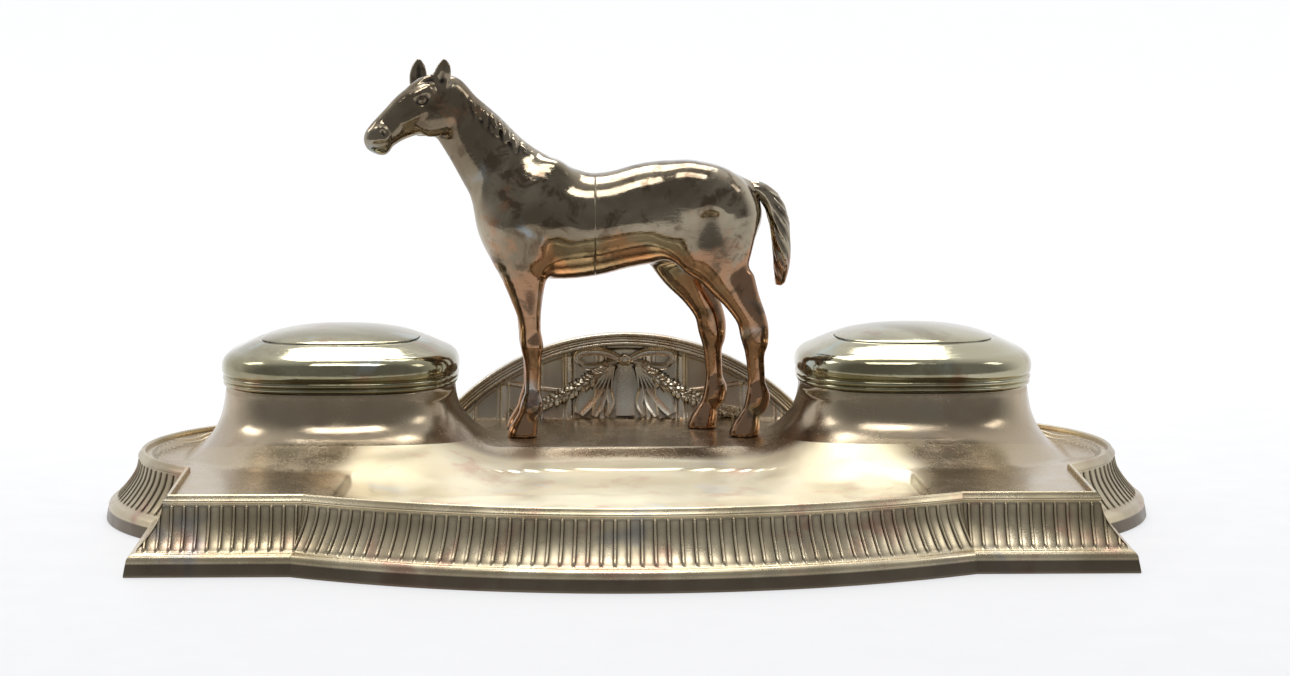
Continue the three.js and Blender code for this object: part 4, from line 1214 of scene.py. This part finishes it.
def sculpt_horse(clay):
    # Barrel, from the rump to the chest.
    clay.limb([(38, 108, 13.6, 12.0), (31, 109.4, 17.0, 16.0), (21, 109.8, 18.6, 17.4),
               (10, 108.7, 19.2, 17.6), (-3, 105.9, 18.7, 18.4), (-15, 104.0, 19.7, 18.8),
               (-27, 104.4, 21.0, 18.0), (-36, 105, 19.6, 16.0), (-41.5, 104.8, 14.6, 13.0)], 4.0)
    for side in (-1, 1):
        # Quarters: croup, thigh and buttock.
        clay.limb([(24, 116, 11, 9, 7), (34, 112, 12, 9, 8), (39, 102, 9.0, 7, 8.5), (37, 92, 8.0, 6, 8.5)],
                  5.0, side=side)
        clay.limb([(20, 100, 8, 6.5, 9.5), (26, 93, 7.5, 6, 9.5)], 5.0, side=side)
        # Shoulder blade and upper arm.
        clay.limb([(-28, 122, 6, 4, 7), (-35, 112, 8.5, 6, 10), (-39.5, 102, 8.0, 6, 10),
                   (-35, 93, 6.5, 5.5, 10)], 4.0, side=side)
        # Breast.
        clay.limb([(-45, 102, 7.2, 6.3, 5), (-44.5, 92, 5.8, 5.4, 6)], 5.0, side=side)
    clay.limb([(-45, 98, 6.3, 6), (-43, 86, 5.2, 5)], 4.0)
    for side in (-1, 1):
        # Hollows of the flank, before the stifle and behind the elbow, and between the thigh muscles.
        clay.limb([(13, 113, 4.5, 2.2, 20.5), (16, 101, 3.6, 2.0, 20.5), (18.5, 92, 2.4, 1.8, 18.5)], 5.0,
                  side=side, carve=True)
        clay.limb([(-23, 100, 2.2, 1.3, 21.5), (-27, 92, 2.2, 1.5, 19)], 4.0, side=side, carve=True)
        clay.limb([(31.5, 106, 2.2, 1.2, 17.8), (33, 96, 2.0, 1.2, 17.0), (35, 88, 1.6, 1.2, 15.5)], 3.0,
                  side=side, carve=True)
    # Neck.
    clay.limb([(-33, 108, 18.0, 12.5), (-41, 117, 16.6, 10.5), (-49, 126, 14.2, 8.6), (-56, 135, 12.4, 7.2),
               (-62.5, 143, 11.0, 6.4), (-68, 149.5, 9.6, 5.8)], 6.0)
    fore_leg(clay, -35.6, -1)
    fore_leg(clay, -36.7, 1)
    hind_leg(clay, 48.6, -1)
    hind_leg(clay, 33.6, 1)
    # Dock.
    clay.limb([(38, 117, 5, 4.5), (44, 117.8, 3.4, 3.2), (48, 117.4, 2.6, 2.6)], 3.0)
    sculpt_head(clay)


def sculpt_head(clay):
    # Skull from the poll to the muzzle.
    clay.limb([(-68.5, 151.0, 9.0, 5.8), (-74.5, 148.8, 10.0, 6.6), (-80.5, 146.6, 8.6, 5.6),
               (-86.0, 142.8, 6.8, 4.6), (-90.0, 139.4, 5.9, 4.4), (-92.5, 137.4, 5.6, 4.7)], 3.0, head=True)
    # Bridge of the nose, lips and chin.
    clay.limb([(-78, 152.6, 4.2, 3.6), (-86, 146.4, 3.2, 2.9), (-91.5, 141.2, 3.2, 3.0)], 2.0, head=True)
    clay.limb([(-93.4, 136.4, 3.9, 4.4), (-91.2, 134.0, 3.0, 3.6)], 1.5, head=True)
    for side in (-1, 1):
        at = {"side": side, "head": True}
        # Cheek, brow and eye.
        clay.limb([(-71.6, 145.2, 7.4, 2.5, 4.6), (-75.4, 143.6, 6.2, 2.2, 4.4)], 1.4, **at)
        clay.limb([(-76.5, 154.8, 2.6, 1.9, 4.4), (-80.8, 152.8, 2.0, 1.6, 4.2)], 1.5, **at)
        clay.limb([(-78.6, 151.6, 1.9, 1.3, 5.6), (-79.6, 151.2, 1.9, 1.3, 5.4)], 0.5, carve=True, **at)
        clay.limb([(-78.7, 151.6, 1.25, 1.3, 5.0), (-79.4, 151.3, 1.2, 1.3, 4.9)], 0.3, **at)
        # Cheek bone ridge and nostril.
        clay.limb([(-78.5, 147.6, 1.3, 1.1, 5.6), (-85.0, 143.4, 1.0, 1.0, 4.6)], 1.0, **at)
        clay.limb([(-93.0, 140.2, 2.2, 1.6, 3.6), (-91.6, 138.6, 1.8, 1.4, 4.0)], 0.8, **at)
        clay.limb([(-93.2, 139.6, 1.1, 1.2, 5.2), (-92.3, 138.6, 0.9, 1.1, 5.3)], 0.4, carve=True, **at)
        # Mouth.
        clay.limb([(-96.5, 135.2, 0.5, 1.2, 3.8), (-92.5, 135.8, 0.4, 1.0, 4.8)], 0.4, carve=True, **at)
    # Forelock.
    clay.limb([(-71, 158.4, 2.4, 2.8), (-76, 158.0, 2.0, 2.2), (-80.4, 155.4, 1.4, 1.5)], 1.2, head=True)
    for i in range(5):
        clay.limb([(-71.5, 160.0, 0.7, 0.7, 0.9 * (i - 2)), (-76, 159.6, 0.8, 0.8, 1.1 * (i - 2)),
                   (-80.2 - 0.5 * (i % 2), 156.4, 0.5, 0.5, 0.8 * (i - 2))], 0.4, head=True)
    # Ears, set by where their tips stand.
    for root, tip, lean in (((-79.2, 22.5), (-78.8, 24.0), 0), ((-70.6, 11.0), (-68.4, 9.6), 1)):
        rx, ry = root
        tx, ty = tip
        mx, my = (rx + tx) / 2, (ry + ty) / 2
        clay.limb([(rx, 154.6, 2.6, 2.4, ry), (mx + 0.1 * lean, 159.4, 3.5, 2.0, my),
                   (tx, 163.4, 2.7, 1.5, ty), (tx + 0.1, 167.0, 0.5, 0.5, ty)], 1.2, y=0)
        clay.limb([(mx + 0.6, 158.6, 1.7, 1.2, my - 1.9), (tx + 0.2, 162.8, 1.4, 0.9, ty - 1.6),
                   (tx + 0.1, 165.4, 0.5, 0.5, ty - 0.6)], 0.5, y=0, carve=True)


def sculpt_mane(clay):
    """Locks that fall from the crest over the near and far side of the neck."""
    crest = smooth_path([(-66.5, 156.6), (-60.5, 154.0), (-55, 150.2), (-49, 145.2), (-43, 139.2),
                         (-36, 132.6)], 6)
    for i, (x, z) in enumerate(crest):
        share = i / len(crest)
        width = 6.2 + 2.2 * share
        sway = 0.9 * math.sin(1.7 * i) + 1.2
        for side in (-1, 1):
            fall = 8.5 - 3.0 * share + 1.6 * math.sin(2.3 * i + side)
            clay.limb([(x, z - 0.6, 1.0, 1.0, 0.4), (x + 0.4, z - 0.35 * fall, 0.95, 0.9, width * 0.55),
                       (x + sway, z - fall, 0.45, 0.5, width * 0.86)], 0.35, side=side, steps=3)


def neighbour_sum(values, faces):
    """Sum of every vertex's neighbours along the faces' edges."""
    total = np.zeros_like(values)
    for a, b in QUAD_EDGES:
        for p, q in ((a, b), (b, a)):
            np.add.at(total, faces[:, p], values[faces[:, q]])
    return total


def recess_from_curvature(vertices, faces):
    """Marks hollows: how far each vertex lies under the mean of its neighbours."""
    count = neighbour_sum(np.ones(len(vertices)), faces)
    mean = neighbour_sum(vertices, faces) / np.maximum(count, 1)[:, None]
    normal = np.zeros_like(vertices)
    a, b, c, d = (vertices[faces[:, corner]] for corner in range(4))
    cross = np.cross(c - a, d - b)
    for corner in range(4):
        np.add.at(normal, faces[:, corner], cross)
    normal /= np.linalg.norm(normal, axis=1)[:, None] + 1e-12
    hollow = np.sum((mean - vertices) * normal, axis=1)
    for _ in range(2):
        hollow = 0.5 * hollow + 0.5 * neighbour_sum(hollow, faces) / np.maximum(count, 1)
    return hollow


def relax(vertices, faces, rounds=2):
    """Evens out the surface net's steps."""
    count = neighbour_sum(np.ones(len(vertices)), faces)
    for _ in range(rounds):
        vertices = vertices * 0.5 + 0.5 * neighbour_sum(vertices, faces) / count[:, None]
    return vertices


def make_horse():
    pitch = 0.6
    clay = Clay((-104, -10, 22), (56, 40, 170), pitch)
    sculpt_horse(clay)
    clay.soften()
    sculpt_mane(clay)
    clay.floor(STAGE_Z + 0.1)
    vertices, faces = clay.mesh()
    vertices = relax(vertices, faces)
    hollow = np.clip(recess_from_curvature(vertices, faces) / (0.06 * pitch), 0, 1)
    front = vertices[faces].mean(axis=1)[:, 0] < SEAM_X
    for name, mask, node in (("horse_front", front, "horse_forehand"),
                             ("horse_rear", ~front, "horse_hindquarters")):
        used = np.unique(faces[mask])
        lookup = np.full(len(vertices), -1)
        lookup[used] = np.arange(len(used))
        thing = piece(name, vertices[used], lookup[faces[mask]], horse_bronze, [node],
                      shade_and_tarnish=hollow[used])
        work = bmesh.new()
        work.from_mesh(thing.data)
        bmesh.ops.holes_fill(work, edges=[e for e in work.edges if e.is_boundary])
        work.to_mesh(thing.data)
        work.free()
        thing.data.shade_smooth()


def make_tail():
    pitch = 0.5
    clay = Clay((40, 8, 74), (68, 26, 124), pitch)
    spine = [(45.5, 118, 2.6, 2.5), (50.5, 117.4, 3.0, 2.8), (55, 113.2, 3.4, 3.4), (57.8, 106, 3.6, 3.8),
             (58.9, 97, 3.3, 3.8), (59.1, 88.5, 2.8, 3.2), (58.6, 82, 1.5, 1.8)]
    clay.limb(spine, 1.0)
    clay.soften()
    path = smooth_path(spine, 4)
    strands = 11
    for strand in range(strands):
        phase = strand / strands * 2 * math.pi
        rows = []
        for i, (x, z, tall, wide) in enumerate(path[2:]):
            angle = phase + 0.12 * i + 0.35 * math.sin(0.5 * i + strand)
            rows.append((x + 0.86 * tall * math.cos(angle), z + 0.3 * tall * math.cos(angle), 0.8, 0.8,
                         0.9 * wide * math.sin(angle)))
        clay.limb(rows, 0.4, steps=1)
    vertices, faces = clay.mesh()
    vertices = relax(vertices, faces, 1)
    hollow = np.clip(recess_from_curvature(vertices, faces) / (0.05 * pitch) + 0.2, 0, 1)
    piece("horse_tail_hair", vertices, faces, horse_bronze, ["horse_tail"], shade_and_tarnish=hollow)


make_horse()
make_tail()


# ------------------------------------------------------------------ fasteners under the deck

def thread_profile(z0, z1, radius, pitch=0.7):
    """A turned section that reads as a screw thread."""
    rows, z = [(0.02, z0)], z0
    while z < z1 - pitch:
        rows += [(radius - 0.28, z), (radius, z + pitch / 2)]
        z += pitch
    return rows + [(radius - 0.28, z), (radius - 0.3, z1), (0.02, z1)]


def turned(profile, x, y, sides=32):
    """Vertices and faces of a closed (radius, z) profile turned about an upright axis."""
    angles = np.arange(sides) / sides * 2 * np.pi
    rings = np.array([np.column_stack([x + r * np.cos(angles), y + r * np.sin(angles), np.full(sides, z)])
                      for r, z in profile])
    return rings.reshape(-1, 3), grid_faces(len(profile), sides, wrap_rows=True, wrap_columns=True)


def make_fasteners(leg):
    low, high = box_mm(leg + "_stud")
    x, y = (low[0] + high[0]) / 2, (low[1] + high[1]) / 2 - WELL_Y
    vertices, faces = turned(thread_profile(low[2], high[2], 1.6), x, y)
    weld(piece(leg + "_screw", vertices, faces, brass, [leg + "_stud"]), 50)


for leg in ("near_fore", "far_fore", "near_hind", "far_hind"):
    make_fasteners(leg)
    finish_carried([leg + "_washer", leg + "_nut"], brass)


# ------------------------------------------------------------------ stage, light

def make_floor():
    """A paper sweep: level under the stand, rising behind it in one curve."""
    front, bend, wall_y, wall_top, half = -0.62, 1.2, 2.6, 4.0, 5.0
    profile = [(front, 0.0), (wall_y - bend, 0.0)]
    for angle in np.linspace(0.05, math.pi / 2, 24):
        profile.append((wall_y - bend + bend * math.sin(angle), bend - bend * math.cos(angle)))
    profile.append((wall_y, wall_top))
    vertices = [(x, y, z) for y, z in profile for x in (-half, half)]
    faces = [(2 * i, 2 * i + 1, 2 * i + 3, 2 * i + 2) for i in range(len(profile) - 1)]
    mesh = bpy.data.meshes.new("floor")
    mesh.from_pydata(vertices, [], faces)
    mesh.shade_smooth()
    n = Nodes("floor_paper")
    # The paper glows, brighter towards the back: painted light on the backdrop.
    n.fill(n.bsdf, ("Specular IOR Level", 0.15), ("Emission Color", (0.985, 0.988, 1.0, 1.0)))
    n.link(n.ramp(n.along("Y"), -0.5, 2.2, 0.6, 0.86), n.bsdf.inputs["Emission Strength"])
    colour = n.mix(n.noise(3, detail=3), (0.25, 0.25, 0.253), (0.27, 0.27, 0.273))
    mesh.materials.append(n.finish(colour, n.ramp(n.noise(40), 0.3, 0.7, 0.6, 0.75)))
    floor = bpy.data.objects.new("floor", mesh)
    bpy.context.scene.collection.objects.link(floor)


def softbox(name, location, target, size, power):
    """A rectangular lamp turned to a target."""
    data = bpy.data.lights.new(name, "AREA")
    data.shape = "RECTANGLE"
    data.size, data.size_y = size
    data.energy = power
    lamp = bpy.data.objects.new(name, data)
    lamp.location = location
    lamp.rotation_euler = (Vector(target) - Vector(location)).to_track_quat("-Z", "Y").to_euler()
    bpy.context.scene.collection.objects.link(lamp)


def make_world():
    """White behind the stand, and for the light it gives, brighter towards the back than the front."""
    world = bpy.data.worlds.new("studio")
    world.use_nodes = True
    tree = world.node_tree
    back = tree.nodes["Background"]
    coords = tree.nodes.new("ShaderNodeTexCoord")
    split = tree.nodes.new("ShaderNodeSeparateXYZ")
    tree.links.new(coords.outputs["Generated"], split.inputs[0])
    ramp = tree.nodes.new("ShaderNodeMapRange")
    ramp.interpolation_type = "SMOOTHSTEP"
    for socket, value in (("From Min", -0.5), ("From Max", 0.6), ("To Min", 0.26), ("To Max", 1.0)):
        ramp.inputs[socket].default_value = value
    tree.links.new(split.outputs["Y"], ramp.inputs["Value"])
    tree.links.new(ramp.outputs["Result"], back.inputs["Strength"])
    back.inputs["Color"].default_value = (0.97, 0.98, 1.0, 1.0)
    pale = tree.nodes.new("ShaderNodeBackground")
    pale.inputs["Color"].default_value = (0.98, 0.98, 0.985, 1.0)
    pale.inputs["Strength"].default_value = 1.0
    path = tree.nodes.new("ShaderNodeLightPath")
    mix = tree.nodes.new("ShaderNodeMixShader")
    tree.links.new(path.outputs["Is Camera Ray"], mix.inputs["Fac"])
    tree.links.new(back.outputs[0], mix.inputs[1])
    tree.links.new(pale.outputs[0], mix.inputs[2])
    tree.links.new(mix.outputs[0], tree.nodes["World Output"].inputs["Surface"])
    bpy.context.scene.world = world


make_floor()
make_world()
softbox("high_back", (-0.03, 0.62, 1.15), (0, 0, 0.05), (0.75, 0.62), 7.5)
softbox("overhead", (-0.05, -0.3, 1.25), (0, 0, 0.05), (0.55, 0.35), 3.4)
softbox("high_left", (-0.95, 0.25, 0.95), (0, 0, 0.08), (0.3, 0.4), 1.5)
softbox("high_right", (0.95, -0.1, 0.9), (0, 0, 0.08), (0.25, 0.4), 0.8)
bpy.context.scene.view_settings.view_transform = "Standard"
